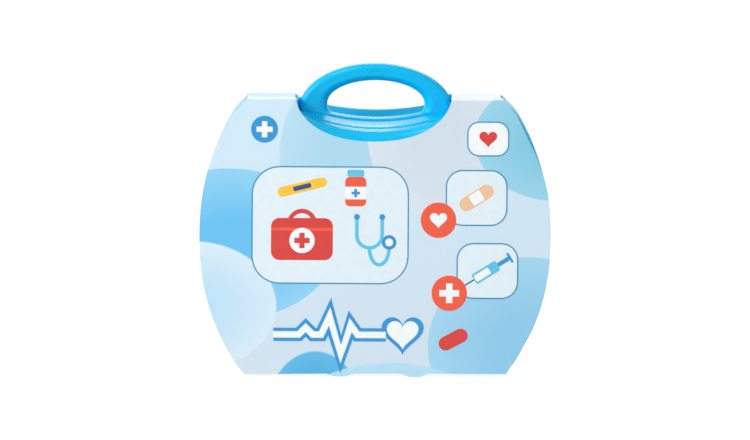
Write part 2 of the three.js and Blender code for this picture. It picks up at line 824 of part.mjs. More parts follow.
function cardWrap() {
  const frontPanel = prism(cardPanelOutline(cardTop), -cardOutside, -cardInside);
  const front = join(
    frontPanel,
    cardBottomPanel(-cardOutside, -cardHingeGap),
    cardTopPanel(-1, -cardOutside, -cardSlit - fit / 2),
    cardTopPanel(1, -cardOutside, -cardSlit - fit / 2),
  );
  add("card_wrap_front", front, printedCard);
  const creaseDrop = cardThickness + fit;
  const rearPanel = prism(cardPanelOutline(cardTop - creaseDrop), cardInside, cardOutside);
  add("card_wrap_rear", join(rearPanel, cardBottomPanel(cardHingeGap, cardOutside)), printedCard);
  for (const [name, side] of [["left", -1], ["right", 1]]) {
    add("card_flap_" + name, cardTopPanel(side, -cardSlit + fit / 2, cardInside - fit / 3), printedCard);
  }
}

// Drawers
function drawer() {
  const half = drawerHeight / 2;
  const outer = prism(drawerOutline(drawerInnerX, fit, half), drawerTopY, drawerFloorY);
  const inner = prism(
    drawerOutline(drawerInnerX + drawerWall, drawerFrontWall, half - drawerWall),
    drawerTopY - overrun,
    drawerFloorY - drawerWall,
  );
  const notch = rod(
    "x",
    gripNotchRadius,
    roomAt(caseMiddle + half, drawerFrontWall) - wall,
    halfWidth + overrun,
    drawerTopY - gripNotchRadius / 2,
    caseMiddle,
  );
  return cut(outer, inner, notch);
}

function drawers() {
  const right = drawer();
  add("drawer_right", right, drawerRed);
  add("drawer_left", mirrored(right), drawerRed);
}

// Tray: the width and height of what lies in each recess, and the places of their middles
const syringeLength = nozzleLength + barrelLength + plungerStickOut + flangeThickness + plungerTravel;
const bottleWhole = bottleLength + capLength + fit;
const recessTop = trayTop - trayHead;
const columnsHalf = roomAt(recessTop, wall + fit) - traySide;
const otherColumns = hammerHeadWidth + monitorWidth + 6 * recessGap + 2 * columnGap;
const stethoscopeWidth = 2 * columnsHalf - otherColumns;
const recessSizes = {
  stethoscope: [stethoscopeWidth, stethoscopeHeight],
  monitor: [monitorWidth, monitorHeight],
  hammer: [hammerHeadWidth, hammerLength],
  syringe: [syringeLength, 2 * flangeRadius],
  thermometer: [thermometerLength, 2 * thermometerBodyRadius],
  bottle: [2 * bottleRadius, bottleWhole],
};
const trayPlaces = placesInTray();

function placesInTray() {
  const reach = (size) => size / 2 + recessGap;
  const left = -columnsHalf + reach(stethoscopeWidth);
  const middle = left + reach(stethoscopeWidth) + columnGap + reach(hammerHeadWidth);
  const right = columnsHalf - reach(monitorWidth);
  const rows = ["stethoscope", "syringe", "thermometer"].map((name) => 2 * reach(recessSizes[name][1]));
  const free = recessTop - caseBottom - trayFoot - rows[0] - rows[1] - rows[2];
  const gap = free * rowGapShare;
  const stethoscopeZ = recessTop - rows[0] / 2;
  const syringeZ = recessTop - rows[0] - gap - rows[1] / 2;
  const thermometerZ = syringeZ - rows[1] / 2 - gap - rows[2] / 2;
  return {
    stethoscope: [left, stethoscopeZ],
    monitor: [right, stethoscopeZ],
    hammer: [middle, recessTop - reach(hammerLength)],
    syringe: [left, syringeZ],
    thermometer: [left, thermometerZ],
    bottle: [right, (syringeZ + thermometerZ) / 2],
  };
}

function recess(name, grow, y0, y1) {
  const [x, z] = trayPlaces[name];
  const [width, height] = recessSizes[name];
  const halfX = width / 2 + recessGap + grow;
  const halfZ = height / 2 + recessGap + grow;
  const outline = roundedRectangle(x - halfX, x + halfX, z - halfZ, z + halfZ, recessRound + grow);
  return prism(outline, y0, y1);
}

function tray() {
  const edge = wall + fit;
  const flat = prism(caseOutline(edge), trayFace, trayFace + trayThickness);
  const above = box(-caseWidth, caseWidth, -overrun, shellDepth, trayTop, caseTop + overrun);
  let body = cut(flat, dish(1, edge), above);
  const names = Object.keys(recessSizes);
  for (const name of names) body = join(body, recess(name, trayWall, trayFace, recessFloor + trayWall));
  for (const name of names) body = cut(body, recess(name, 0, trayFace - overrun, recessFloor));
  add("tray", body, trayWhite);
}

// A tube along a route of [x, z] places at one depth
function routed(route, y, radius, sides = smallSides) {
  const points = route.map(([x, z]) => new THREE.Vector3(x, y, z));
  const section = new THREE.Shape();
  section.absarc(0, 0, radius, 0, 2 * Math.PI);
  const ring = polygon(section.getSpacedPoints(sides).slice(0, sides).map((p) => [p.x, p.y]));
  const curve = new THREE.CatmullRomCurve3(points);
  const steps = (route.length - 1) * routeSteps;
  return solid(new THREE.ExtrudeGeometry(ring, { steps, extrudePath: curve, bevelEnabled: false }));
}

function stethoscope() {
  const [x0, z0] = trayPlaces.stethoscope;
  const at = ([x, z]) => [x0 + (x * stethoscopeWidth) / 2, z0 + (z * stethoscopeHeight) / 2];
  const y = recessBottom - Math.max(earTipRadius, yokeRadius);
  const [yokeX, yokeZ] = at(yokeShare);
  const tipX = x0 - stethoscopeWidth / 2 + earTipLength + fit;
  const high = armRouteShares.map(([x, z]) => [tipX + x * (yokeX - tipX), at([x, z])[1]]);
  const low = high.map(([x, z]) => [x, 2 * yokeZ - z]);
  const yoke = rod("x", yokeRadius, yokeX - yokeLength / 2, yokeX + yokeLength / 2, y, yokeZ);
  add("stethoscope_headset", join(yoke, routed(high, y, tubeRadius), routed(low, y, tubeRadius)), tubeCyan);
  for (const [name, [x, z]] of [["low", high[0]], ["high", low[0]]]) {
    const tip = rod("x", earTipRadius, x - earTipLength - fit, x - fit, y, z);
    add("stethoscope_ear_tip_" + name, tip, trayWhite);
  }
  const chestX = x0 - stethoscopeWidth / 2 + chestSideGap + chestRadius;
  const chestZ = at([0, chestDropShare])[1];
  const endX = chestX + chestRadius + chestStem;
  const reach = x0 + stethoscopeWidth / 2 - endX;
  const tubeRoute = [
    [yokeX + yokeLength / 2 + fit, yokeZ],
    ...tubeHighShares.map(at),
    ...tubeLowShares.map(([x, z]) => [endX + x * reach, at([x, z])[1]]),
  ];
  add("stethoscope_tube", routed(tubeRoute, y, tubeRadius), trayWhite);
  const [tubeEndX, tubeEndZ] = tubeRoute[tubeRoute.length - 1];
  const back = recessBottom - diaphragmDepth - fit;
  const front = back - chestDepth;
  const profile = [
    [0, front],
    [chestRadius * chestCrownShare, front],
    [chestRadius, back - chestDepth / 2],
    [chestRadius, back],
    [0, back],
  ];
  const stem = rod("x", tubeRadius, chestX + diaphragmRadius + fit, tubeEndX - fit, y, tubeEndZ);
  add("stethoscope_chest_piece", join(turned("y", profile, chestX, 0, chestZ), stem), tubeCyan);
  const face = rod("y", diaphragmRadius, back + fit, back + fit + diaphragmDepth, chestX, chestZ);
  add("stethoscope_diaphragm", face, trayWhite);
}

function monitor() {
  const [x, z] = trayPlaces.monitor;
  const halfX = monitorWidth / 2;
  const halfZ = monitorHeight / 2;
  const front = recessBottom - monitorDepth;
  const outline = roundedRectangle(x - halfX, x + halfX, z - halfZ, z + halfZ, monitorRound);
  add("monitor_box", prism(outline, front, recessBottom, monitorRound / 4), trayWhite);
  const displayZ = z + displayPlaceShare * monitorHeight;
  const buttonZ = z - buttonPlaceShare * monitorHeight;
  const face = front - fit;
  const display = roundedRectangle(
    x - displayWidth / 2,
    x + displayWidth / 2,
    displayZ - displayHeight / 2,
    displayZ + displayHeight / 2,
    monitorRound / 2,
  );
  add("monitor_display", prism(display, face - displayRise, face), displayNavy);
  for (const [name, side] of [["left", -1], ["middle", 0], ["right", 1]]) {
    const button = rod("y", buttonRadius, face - buttonRise, face, x + side * buttonSpacing, buttonZ);
    add("monitor_button_" + name, button, drawerRed);
  }
}

function hammer() {
  const [x, z] = trayPlaces.hammer;
  const y = recessBottom - hammerFaceRadius;
  const headZ = z + hammerLength / 2 - hammerFaceRadius;
  const half = hammerHeadWidth / 2;
  const profile = [
    [0, -half],
    [hammerFaceRadius, -half],
    [hammerFaceRadius, hammerFaceDepth - half],
    [hammerHeadRadius, hammerFaceDepth - half],
    [hammerHeadRadius, half - hammerFaceDepth],
    [hammerFaceRadius, half - hammerFaceDepth],
    [hammerFaceRadius, half],
    [0, half],
  ];
  const head = turned("x", profile, x, y, headZ);
  const bore = rod("z", hammerBore + fit, headZ - hammerFaceRadius - overrun, headZ, x, y);
  add("hammer_head", cut(head, bore), drawerRed);
  const low = z - hammerLength / 2;
  const neck = headZ - hammerHeadRadius - fit;
  const gripTop = low + hammerLength * hammerGripShare;
  const handle = join(
    rod("z", hammerGripRadius, low, gripTop, x, y),
    rod("z", hammerNeckRadius, gripTop - overrun, neck, x, y),
    rod("z", hammerBore, neck - overrun, headZ - fit, x, y),
  );
  add("hammer_handle", handle, trayWhite);
}

function syringe() {
  const [x, z] = trayPlaces.syringe;
  const y = recessBottom - flangeRadius;
  const start = x - syringeLength / 2;
  const rear = start + nozzleLength;
  const end = rear + barrelLength;
  const inner = barrelRadius - barrelWall;
  const profile = [
    [0, start],
    [nozzleRadius, start],
    [nozzleRadius, rear],
    [barrelRadius, rear],
    [barrelRadius, end - flangeThickness],
    [flangeRadius, end - flangeThickness],
    [flangeRadius, end],
    [inner, end],
    [inner, rear + barrelWall],
    [0, rear + barrelWall],
  ];
  add("syringe_barrel", turned("x", profile, 0, y, z), clearPlastic);
  const head = inner - fit;
  const home = rear + barrelWall + fit;
  const plungerEnd = end + plungerStickOut;
  const plunger = [
    [0, home],
    [head, home],
    [head, home + plungerHeadLength],
    [plungerRodRadius, home + plungerHeadLength],
    [plungerRodRadius, plungerEnd],
    [head, plungerEnd],
    [head, plungerEnd + flangeThickness],
    [0, plungerEnd + flangeThickness],
  ];
  add("syringe_plunger", turned("x", plunger, 0, y, z), toolBlue);
}

function thermometer() {
  const [x, z] = trayPlaces.thermometer;
  const half = thermometerLength / 2;
  const low = -half + thermometerTipRadius;
  const high = half - thermometerBodyRadius;
  const outline = taperedCapsule(0, low, thermometerTipRadius, high, thermometerBodyRadius);
  const front = recessBottom - thermometerThickness;
  const body = prism(outline, front, recessBottom, thermometerRound).rotate([0, 90, 0]);
  add("thermometer_body", body.translate([x, 0, z]), toyYellow);
  const middle = x + windowPlaceShare * thermometerLength;
  const view = roundedRectangle(
    middle - windowWidth / 2,
    middle + windowWidth / 2,
    z - windowHeight / 2,
    z + windowHeight / 2,
    windowHeight / 4,
  );
  add("thermometer_window", prism(view, front - fit - windowRise, front - fit), displayNavy);
}

// A bottle lying in its recess, with its screw cap
function bottle() {
  const [x, z] = trayPlaces.bottle;
  const y = recessBottom - bottleRadius;
  const low = z - bottleWhole / 2;
  const shoulder = low + bottleLength - bottleNeckLength;
  const capLow = shoulder + fit;
  const profile = [
    [0, low],
    [bottleRadius - bottleRound, low],
    [bottleRadius, low + bottleRound],
    [bottleRadius, shoulder - bottleRound],
    [bottleRadius - bottleRound, shoulder],
    [bottleNeckRadius, shoulder],
    [bottleNeckRadius, shoulder + bottleNeckLength],
    [0, shoulder + bottleNeckLength],
  ];
  add("bottle", turned("z", profile, x, y, 0), drawerRed);
  const bore = bottleNeckRadius + fit;
  const cap = [
    [bore, capLow],
    [capRadius, capLow],
    [capRadius, capLow + capLength],
    [0, capLow + capLength],
    [0, shoulder + bottleNeckLength + fit],
    [bore, shoulder + bottleNeckLength + fit],
    [bore, capLow],
  ];
  add("bottle_cap", turned("z", cap, x, y, 0), trayWhite);
}

// Blue forceps lying in the left drawer: two legs joined at one end
function forceps() {
  const x = -halfWidth * drawerPlaceShare;
  const rest = drawerFloorY - drawerWall - fit;
  const half = forcepsLength / 2;
  const tip = forcepsLeg / 2;
  const wide = forcepsSpread / 2;
  const [outerBend, innerBend, jointEnd] = forcepsBendShares.map((share) => share * half);
  const side = (sign) => [
    [sign * fit, half],
    [(sign * forcepsWidth) / 2, half],
    [sign * (wide + forcepsLeg), outerBend],
    [sign * (tip + forcepsLeg), -half],
    [sign * tip, -half],
    [sign * wide, innerBend],
    [sign * fit, jointEnd],
  ];
  const outline = [...side(1), ...side(-1).reverse()];
  const body = prism(polygon(outline), rest - forcepsThickness, rest);
  add("forceps", body.translate([x, 0, caseMiddle]), toolBlue);
}

// Blue scissors lying in the right drawer: two halves on a rivet
function scissorsHalf(side, y0, y1) {
  const low = -scissorsLength * scissorsPivotShare;
  const tip = scissorsLength + low;
  const loopZ = low + scissorsLoopRadius;
  const loopX = side * (scissorsLoopRadius + fit);
  const half = scissorsBlade / 2;
  const outline = [
    [-half * side, 0],
    [-fit * side, tip],
    [half * side * scissorsTipShare, tip],
    [half * side, 0],
    [loopX + half * side * scissorsShankShare, loopZ],
    [loopX - half * side * scissorsShankShare, loopZ],
  ];
  const blade = prism(polygon(outline), y0, y1);
  const loop = rod("y", scissorsLoopRadius, y0, y1, loopX, loopZ);
  const hole = rod("y", scissorsLoopHole, y0 - overrun, y1 + overrun, loopX, loopZ);
  const bore = rod("y", scissorsRivetRadius + fit, y0 - overrun, y1 + overrun, 0, 0);
  return cut(join(blade, loop), hole, bore);
}

function scissors() {
  const x = halfWidth * drawerPlaceShare;
  const z = caseMiddle - scissorsLength / 2 + scissorsLength * scissorsPivotShare;
  const rest = drawerFloorY - drawerWall - fit - scissorsRivetHeadDepth - fit;
  const middle = rest - scissorsThickness;
  const front = middle - fit - scissorsThickness;
  add("scissors_half_fixed", scissorsHalf(1, middle, rest).translate([x, 0, z]), toolBlue);
  add("scissors_half_moving", scissorsHalf(-1, front, middle - fit).translate([x, 0, z]), toolBlue);
  const rivet = join(
    rod("y", scissorsRivetRadius, front - fit, rest + fit, 0, 0),
    rod("y", scissorsRivetHead, front - fit - scissorsRivetHeadDepth, front - fit, 0, 0),
    rod("y", scissorsRivetHead, rest + fit, rest + fit + scissorsRivetHeadDepth, 0, 0),
  );
  add("scissors_rivet", rivet.translate([x, 0, z]), steel);
}

// Inside the lid: a board with a hook rail and a shelf
function lidBoard() {
  const low = caseMiddle - boardLowShare * caseHeight;
  const high = caseMiddle + boardTopShare * caseHeight;
  const half = roomAt(high, wall + edgeRadius) - boardMargin;
  const outline = roundedRectangle(-half, half, low, high, boardRound);
  const body = cut(prism(outline, boardBack, boardFace), dish(-1, wall + fit));
  add("lid_board", body, boardBlue);
  const arm = emblemArm / 2;
  const reach = emblemSize / 2;
  const cross = join(
    box(-reach, reach, lidFixture, lidFixture + emblemRise, emblemZ - arm, emblemZ + arm),
    box(-arm, arm, lidFixture, lidFixture + emblemRise, emblemZ - reach, emblemZ + reach),
  );
  add("board_cross", cross, trayWhite);
}

function hookRail() {
  const half = railHeight / 2;
  const rail = roundedRectangle(-railLength / 2, railLength / 2, railZ - half, railZ + half, half - fit);
  let body = prism(rail, lidFixture, lidFixture + railDepth);
  const end = lidFixture + railDepth + hookReach;
  for (const x of [bagHookX, spareHookX, glassesHookX]) {
    body = join(body, rod("y", hookRadius, lidFixture + railDepth / 2, end, x, railZ, smallSides));
    body = join(body, rod("z", hookRadius, railZ, railZ + hookTip, x, end - hookRadius, smallSides));
  }
  add("hook_rail", body, drawerRed);
}

function shelf() {
  const half = shelfLength / 2;
  const front = lidFixture + shelfDepth;
  const outer = box(-half, half, lidFixture, front, shelfZ, shelfZ + shelfLip);
  const inner = box(
    shelfThickness - half,
    half - shelfThickness,
    lidFixture + shelfThickness,
    front - shelfThickness,
    shelfZ + shelfThickness,
    shelfZ + shelfLip + overrun,
  );
  add("lid_shelf", cut(outer, inner), drawerRed);
  const floor = shelfZ + shelfThickness + fit;
  const boxX = half * medicinePlaceShare;
  const rear = lidFixture + shelfThickness + fit;
  const halfBox = medicineWidth / 2;
  const top = floor + medicineHeight;
  const body = box(boxX - halfBox, boxX + halfBox, rear, rear + medicineDepth, floor, top);
  const inset = 2 * medicineFlap;
  const flap = box(
    boxX - halfBox + inset,
    boxX + halfBox - inset,
    rear + inset,
    rear + medicineDepth - inset,
    top - medicineFlap,
    top + medicineFlap,
  );
  add("medicine_box", join(body, flap), trayWhite);
  const x = half * potPlaceShare;
  const y = rear + potRadius;
  add("pill_pot", rod("z", potRadius, floor, floor + potHeight, x, y), toolBlue);
  const lid = floor + potHeight + fit;
  add("pill_pot_lid", rod("z", potRadius, lid, lid + potLidHeight, x, y), trayWhite);
}

// A tag shaped like a drip bag, hung on the left hook by the hole in its neck
function dripBag() {
  const x = bagHookX;
  const rear = lidFixture + railDepth + hookReach / 2 - bagThickness / 2;
  const front = rear + bagThickness;
  const holeZ = railZ + hookRadius + fit - bagHole;
  const neckTop = holeZ + bagNeckWidth / 2;
  const bagTop = holeZ - bagHole - bagNeckWidth / 6;
  const half = bagWidth / 2;
  const neck = roundedRectangle(
    x - bagNeckWidth / 2,
    x + bagNeckWidth / 2,
    bagTop - bagRound,
    neckTop,
    bagNeckWidth / 2 - fit,
  );
  const bag = roundedRectangle(x - half, x + half, bagTop - bagHeight, bagTop, bagRound);
  const low = bagTop - bagHeight - bagPortLength;
  const middle = (rear + front) / 2;
  const body = join(
    prism(bag, rear, front, bagThickness / 4),
    prism(neck, rear + bagThickness / 4, front - bagThickness / 4),
    rod("z", bagPortRadius, low, bagTop - bagHeight + bagRound, x, middle, smallSides),
  );
  add("drip_bag", cut(body, rod("y", bagHole, rear - overrun, front + overrun, x, holeZ)), drawerRed);
}

// Toy glasses hung by their bridge, with the temples folded behind
function glasses() {
  const x = glassesHookX;
  const front = lidFixture + railDepth + hookReach - 2 * hookRadius - fit;
  const rear = front - glassesThickness;
  const bridgeLow = railZ + hookRadius + fit;
  const bridgeMiddle = bridgeLow + bridgeHeight / 2;
  const lensZ = bridgeLow + bridgeHeight - lensRadius * lensDropShare;
  const half = lensSpacing / 2;
  let frame = box(x - half, x + half, rear, front, bridgeLow, bridgeLow + bridgeHeight);
  for (const side of [-1, 1]) {
    frame = join(frame, rod("y", lensRadius, rear, front, x + side * half, lensZ, 2 * rodSides));
    const end = x + side * (half + lensRadius);
    const lug = side < 0 ? [end - hingeLug / 2, end + hingeLug] : [end - hingeLug, end + hingeLug / 2];
    frame = join(frame, box(...lug, rear, front, bridgeMiddle - templeHeight, bridgeMiddle));
  }
  for (const side of [-1, 1]) {
    frame = cut(frame, rod("y", lensHole, rear - overrun, front + overrun, x + side * half, lensZ, 2 * rodSides));
  }
  add("glasses_frame", frame, toyYellow);
  for (const [name, side, layer] of [["left", -1, 0], ["right", 1, 1]]) {
    const end = side * (half + lensRadius + hingeLug / 2);
    const far = end - side * templeLength;
    const low = bridgeMiddle;
    const high = low + templeHeight;
    const y1 = rear - fit - layer * (templeThickness + fit);
    const near = y1 - templeThickness;
    const x0 = x + Math.min(end, far);
    const x1 = x + Math.max(end, far);
    const tipX = side < 0 ? [x1 - templeTip / 2, x1] : [x0, x0 + templeTip / 2];
    add(
      "glasses_temple_" + name,
      join(box(x0, x1, near, y1, low, high), box(...tipX, near, y1, low - templeTip, low + fit)),
      toyYellow,
    );
  }
}

function caseBody() {
  add("lid_shell", lidShell(), caseBlue);
  add("base_shell", baseShell(), caseBlue);
}

caseBody();
carryHandle();
latches();
hingePins();
cardWrap();
drawers();
tray();
stethoscope();
monitor();
hammer();
syringe();
thermometer();
bottle();
forceps();
scissors();
lidBoard();
hookRail();
shelf();
dripBag();
glasses();

export default part;
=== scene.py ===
"""Dresses a toy doctor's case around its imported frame: shells, handle, printed card and play set."""

import math

import bmesh
import bpy
from bpy.props import FloatProperty, FloatVectorProperty, PointerProperty
from bpy.types import Operator, Panel, PropertyGroup
from mathutils import Matrix, Vector


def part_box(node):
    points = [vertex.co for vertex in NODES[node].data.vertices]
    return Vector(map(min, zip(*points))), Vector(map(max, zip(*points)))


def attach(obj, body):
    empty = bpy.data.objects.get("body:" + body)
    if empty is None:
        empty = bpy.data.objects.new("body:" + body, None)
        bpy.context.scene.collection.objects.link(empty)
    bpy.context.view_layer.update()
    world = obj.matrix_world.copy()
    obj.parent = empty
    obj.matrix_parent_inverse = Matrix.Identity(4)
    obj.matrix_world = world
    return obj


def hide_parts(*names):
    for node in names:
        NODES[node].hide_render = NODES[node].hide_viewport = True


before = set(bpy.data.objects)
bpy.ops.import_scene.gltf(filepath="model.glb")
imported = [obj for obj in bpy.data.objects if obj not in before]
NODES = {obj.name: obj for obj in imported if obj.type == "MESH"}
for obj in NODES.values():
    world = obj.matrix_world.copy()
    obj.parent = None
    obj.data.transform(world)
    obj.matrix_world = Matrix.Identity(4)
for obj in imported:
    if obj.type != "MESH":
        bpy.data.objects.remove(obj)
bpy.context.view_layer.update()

bl_info = {
    "name": "Toy doctor's case",
    "version": (1, 0, 0),
    "blender": (4, 5, 0),
    "location": "View3D > Sidebar > Toy case",
    "description": "Builds the shells, handle, printed card and play set of a toy doctor's case",
    "category": "Add Mesh",
}

MM = 0.001
SAME = 1e-6  # metres within which two places are one
SLIVER = 1e-7  # metres below which an edge is dropped
SEAM = 0.15 * MM  # from the parting plane to the rim of each half
AXES = {"x": Vector((1, 0, 0)), "y": Vector((0, 1, 0)), "z": Vector((0, 0, 1))}


def length(name, description, size_mm):
    """A length that a user may change. Its default is given in millimetres."""
    size = size_mm * MM
    return FloatProperty(name=name, description=description, default=size, unit="LENGTH", subtype="DISTANCE")


def camera_angle(name, description, degrees):
    """An angle that a user may change. Its default is given in degrees."""
    return FloatProperty(name=name, description=description, default=math.radians(degrees), unit="ROTATION")


def linear(hex_value):
    """An sRGB hex colour as the linear red, green, blue and alpha that shaders take."""
    parts = [int(hex_value[i : i + 2], 16) / 255 for i in (1, 3, 5)]
    return [c / 12.92 if c <= 0.04045 else ((c + 0.055) / 1.055) ** 2.4 for c in parts] + [1.0]


def colour(name, description, value):
    """A colour that a user may change. Its default is an sRGB hex value."""
    return FloatVectorProperty(
        name=name, description=description, subtype="COLOR", size=4, min=0, max=1, default=linear(value)
    )


class CaseSizes(PropertyGroup):
    width: length("Width", "Across the bowed sides at half height", 249.2)
    height: length("Height", "Of the two shells, without feet and handle", 193.7)
    low: length("Underside", "Height of the shells' underside over the floor", 3.3)
    depth: length("Shell depth", "From the parting plane to a shell's face", 47.2)
    bow: length("Side bow", "How much narrower the case is at its top and bottom, on each side", 30.3)
    corner_radius: length("Corner radius", "Of the outline's four corners", 14)
    edge_radius: length("Edge radius", "Between a shell's face and its sides", 7)
    wall: length("Wall", "Thickness of the moulded walls", 2.2)
    fit: length("Fit", "Gap between pieces that touch", 0.3)


class DishSizes(PropertyGroup):
    half_width: length("Half width", "Of the finger dish", 55.5)
    drop: length("Drop", "From the case's top to the dish's low point at the handle", 16.4)
    radius: length("Radius", "Of the dish's floor at the handle", 150)
    front_drop: length("Front drop", "Further fall of the floor to the front rim", 5.7)
    front_radius: length("Front radius", "Of the floor at the front rim", 130)
    rear_rise: length("Rear rise", "Of the floor to the rear rim", 6)
    rear_radius: length("Rear radius", "Of the floor at the rear rim", 190)
    rim: length("Rim", "Rounding between the dish and a shell's face", 8.0)


class HandleSizes(PropertyGroup):
    half_width: length("Half width", "Of the outer curve", 55)
    rise: length("Rise", "Of the outer curve over its centre", 33)
    drop: length("Centre", "From the case's top down to the outer curve's centre", 8.4)
    grip_half: length("Grip half width", "Of the opening", 34.7)
    grip_rise: length("Grip rise", "Of the opening over its centre", 16.3)
    grip_lift: length("Grip lift", "Of the opening's centre over the outer one", 4.6)
    depth: length("Depth", "Front to back", 18)
    lip: length("Lip", "Thickness of the low bar along the dish", 2.6)
    fillet: length("Lip fillet", "In the opening's lower corners", 5)
    outer_round: length("Outer rounding", "Of the outer edges", 4.5)
    inner_round: length("Inner rounding", "Of the opening's edges", 6)


class CardSizes(PropertyGroup):
    thickness: length("Thickness", "Of the printed board", 0.5)
    overhang: length("Overhang", "Of the board past the shells' sides", 0.4)
    fold: length("Fold", "Outer radius of the creases", 1.1)
    slit: length("Slit", "From the parting plane to the slit in the top panel", 18)
    hinge_gap: length("Hinge gap", "From the parting plane to the slit in the bottom panel", 6)
    window_margin: length("Window margin", "Of the handle's window past the dish", 0.4)
    window_shift: length("Window shift", "Of the window to the left, where the card was wrapped askew", 1.6)
    window_depth: length("Window depth", "Of the squared ellipse that gives the window", 36)
    window_drop: length("Window drop", "From the case's top to the window's lowest point", 29.3)
    foot: length("Foot", "How far the feet push the card's lower edge down", 2.5)
    foot_spacing: length("Foot spacing", "Between the two feet", 53.3)
    foot_shift: length("Foot shift", "Of the two feet to the right", 2.1)
    foot_flat: length("Foot flat", "Half width of the card that lies flat under a foot", 3.0)
    slope: length("Slope", "Over which the card rises from a foot", 7.8)
    ink: length("Ink step", "Between two printed shapes", 0.0035)


class Colours(PropertyGroup):
    case: colour("Case", "Moulded blue of the shells and the handle", "#00BBEC")
    latch: colour("Latch", "Moulded blue of the latches", "#2FB4EA")
    white: colour("White", "Moulded white of the tray", "#EDF0F4")
    red: colour("Red", "Moulded red", "#E2352A")
    blue: colour("Tool blue", "Moulded blue of the small tools", "#1C74CE")
    yellow: colour("Yellow", "Moulded yellow", "#FFC61A")
    cyan: colour("Cyan", "Moulded cyan of the stethoscope", "#4FC1E2")
    navy: colour("Navy", "Glossy labels", "#22306E")


class Stage(PropertyGroup):
    distance: length("Distance", "From the camera to the case's front", 5999)
    azimuth: camera_angle("Azimuth", "Of the camera, to the right", 0)
    elevation: camera_angle("Elevation", "Of the camera above the case", 3.33)
    roll: camera_angle("Roll", "Of the picture", 0.35)
    lens: FloatProperty(name="Lens", description="Focal length on a 36 mm sensor", default=405, unit="CAMERA")
    target: FloatVectorProperty(
        name="Target",
        description="Point of the case that is in the middle of the picture",
        subtype="TRANSLATION",
        default=(-0.15 * MM, -48 * MM, 111.9 * MM),
    )


class ToyCase(PropertyGroup):
    case: PointerProperty(type=CaseSizes)
    dish: PointerProperty(type=DishSizes)
    handle: PointerProperty(type=HandleSizes)
    card: PointerProperty(type=CardSizes)
    colours: PointerProperty(type=Colours)
    stage: PointerProperty(type=Stage)


def settings():
    return bpy.context.scene.toy_case


# Places that several pieces share


def case_top():
    s = settings().case
    return s.low + s.height


def case_middle():
    s = settings().case
    return s.low + s.height / 2


def sag(x, radius):
    """Height of a shallow arc over its lowest point."""
    return radius - math.sqrt(radius * radius - x * x)


def arc(x, z, radius, start, end, steps):
    """Points along an arc, both ends included."""
    turns = [start + (end - start) * i / steps for i in range(steps + 1)]
    return [(x + radius * math.cos(t), z + radius * math.sin(t)) for t in turns]


# Materials


def socket(sockets, key):
    """The socket that is in use under a name, or the first one in use where there is no name."""
    return next(one for one in sockets if one.enabled and key in (None, one.name))


def add(tree, kind, inputs=None, **options):
    """Adds a shader node with its options. Its inputs take values, or links to sockets or nodes."""
    made = tree.nodes.new(kind)
    for key, value in options.items():
        setattr(made, key, value)
    for key, value in (inputs or {}).items():
        goal = made.inputs[key] if isinstance(key, int) else socket(made.inputs, key)
        if isinstance(value, bpy.types.Node):
            value = socket(value.outputs, None)
        if isinstance(value, bpy.types.NodeSocket):
            tree.links.new(value, goal)
        else:
            goal.default_value = value
    return made


def material(name):
    """An empty node material with its output, and the place on the piece in metres."""
    made = bpy.data.materials.new(name)
    made.use_nodes = True
    tree = made.node_tree
    tree.nodes.clear()
    output = add(tree, "ShaderNodeOutputMaterial")
    place = add(tree, "ShaderNodeTexCoord").outputs["Object"]
    return made, tree, output, place


def noise(tree, place, size_mm, detail=2.0, rough=0.5, stretch=(1, 1, 1)):
    """Cloudy noise with lumps of about the size given, longer along an axis where it is stretched."""
    if stretch != (1, 1, 1):
        place = add(tree, "ShaderNodeMapping", {"Vector": place, "Scale": [1 / s for s in stretch]})
    inputs = {"Vector": place, "Scale": 1 / (size_mm * MM), "Detail": detail, "Roughness": rough}
    return add(tree, "ShaderNodeTexNoise", inputs)


def spread(tree, value, low, high, out_low, out_high):
    """Maps a range of a value to another."""
    inputs = {"Value": value, "From Min": low, "From Max": high, "To Min": out_low, "To Max": out_high}
    return add(tree, "ShaderNodeMapRange", inputs)


def mixed(tree, factor, a, b):
    """Mixes two colours."""
    return add(tree, "ShaderNodeMix", {"Factor": factor, "A": a, "B": b}, data_type="RGBA")


def shade(tone, factor):
    """A colour made darker or lighter."""
    return [min(1.0, c * factor) for c in tone[:3]] + [1.0]


def finish_material(made, tree, output, surface, height=None, distance=0.0):
    """Joins a shader to the output, with a bump of that distance where a height is given."""
    if height is not None:
        bump = add(tree, "ShaderNodeBump", {"Height": height, "Strength": 1.0, "Distance": distance})
        tree.links.new(bump.outputs["Normal"], surface.inputs["Normal"])
    tree.links.new(surface.outputs[0], output.inputs["Surface"])
    return made


def moulded(name, base, roughness, ior, grain_mm=1.1, depth_mm=0.012, **others):
    """Injection-moulded plastic: glossy, with faint flow marks and the unevenness of the mould's wall.

    The real unevenness is finer than a pixel, and is drawn about a millimetre wide so that it shows.
    """
    made, tree, output, place = material(name)
    flow = noise(tree, place, 34, 2.0, 0.45, (1, 1, 2.2))
    grain = noise(tree, place, grain_mm, 3.0, 0.6)
    tint = mixed(tree, spread(tree, flow, 0.3, 0.7, 0, 1), shade(base, 0.93), shade(base, 1.05))
    uneven = spread(tree, grain, 0.3, 0.7, roughness * 0.8, roughness * 1.25)
    inputs = {"Base Color": tint, "Roughness": uneven, "IOR": ior, **others}
    surface = add(tree, "ShaderNodeBsdfPrincipled", inputs)
    return finish_material(made, tree, output, surface, grain, depth_mm * MM)


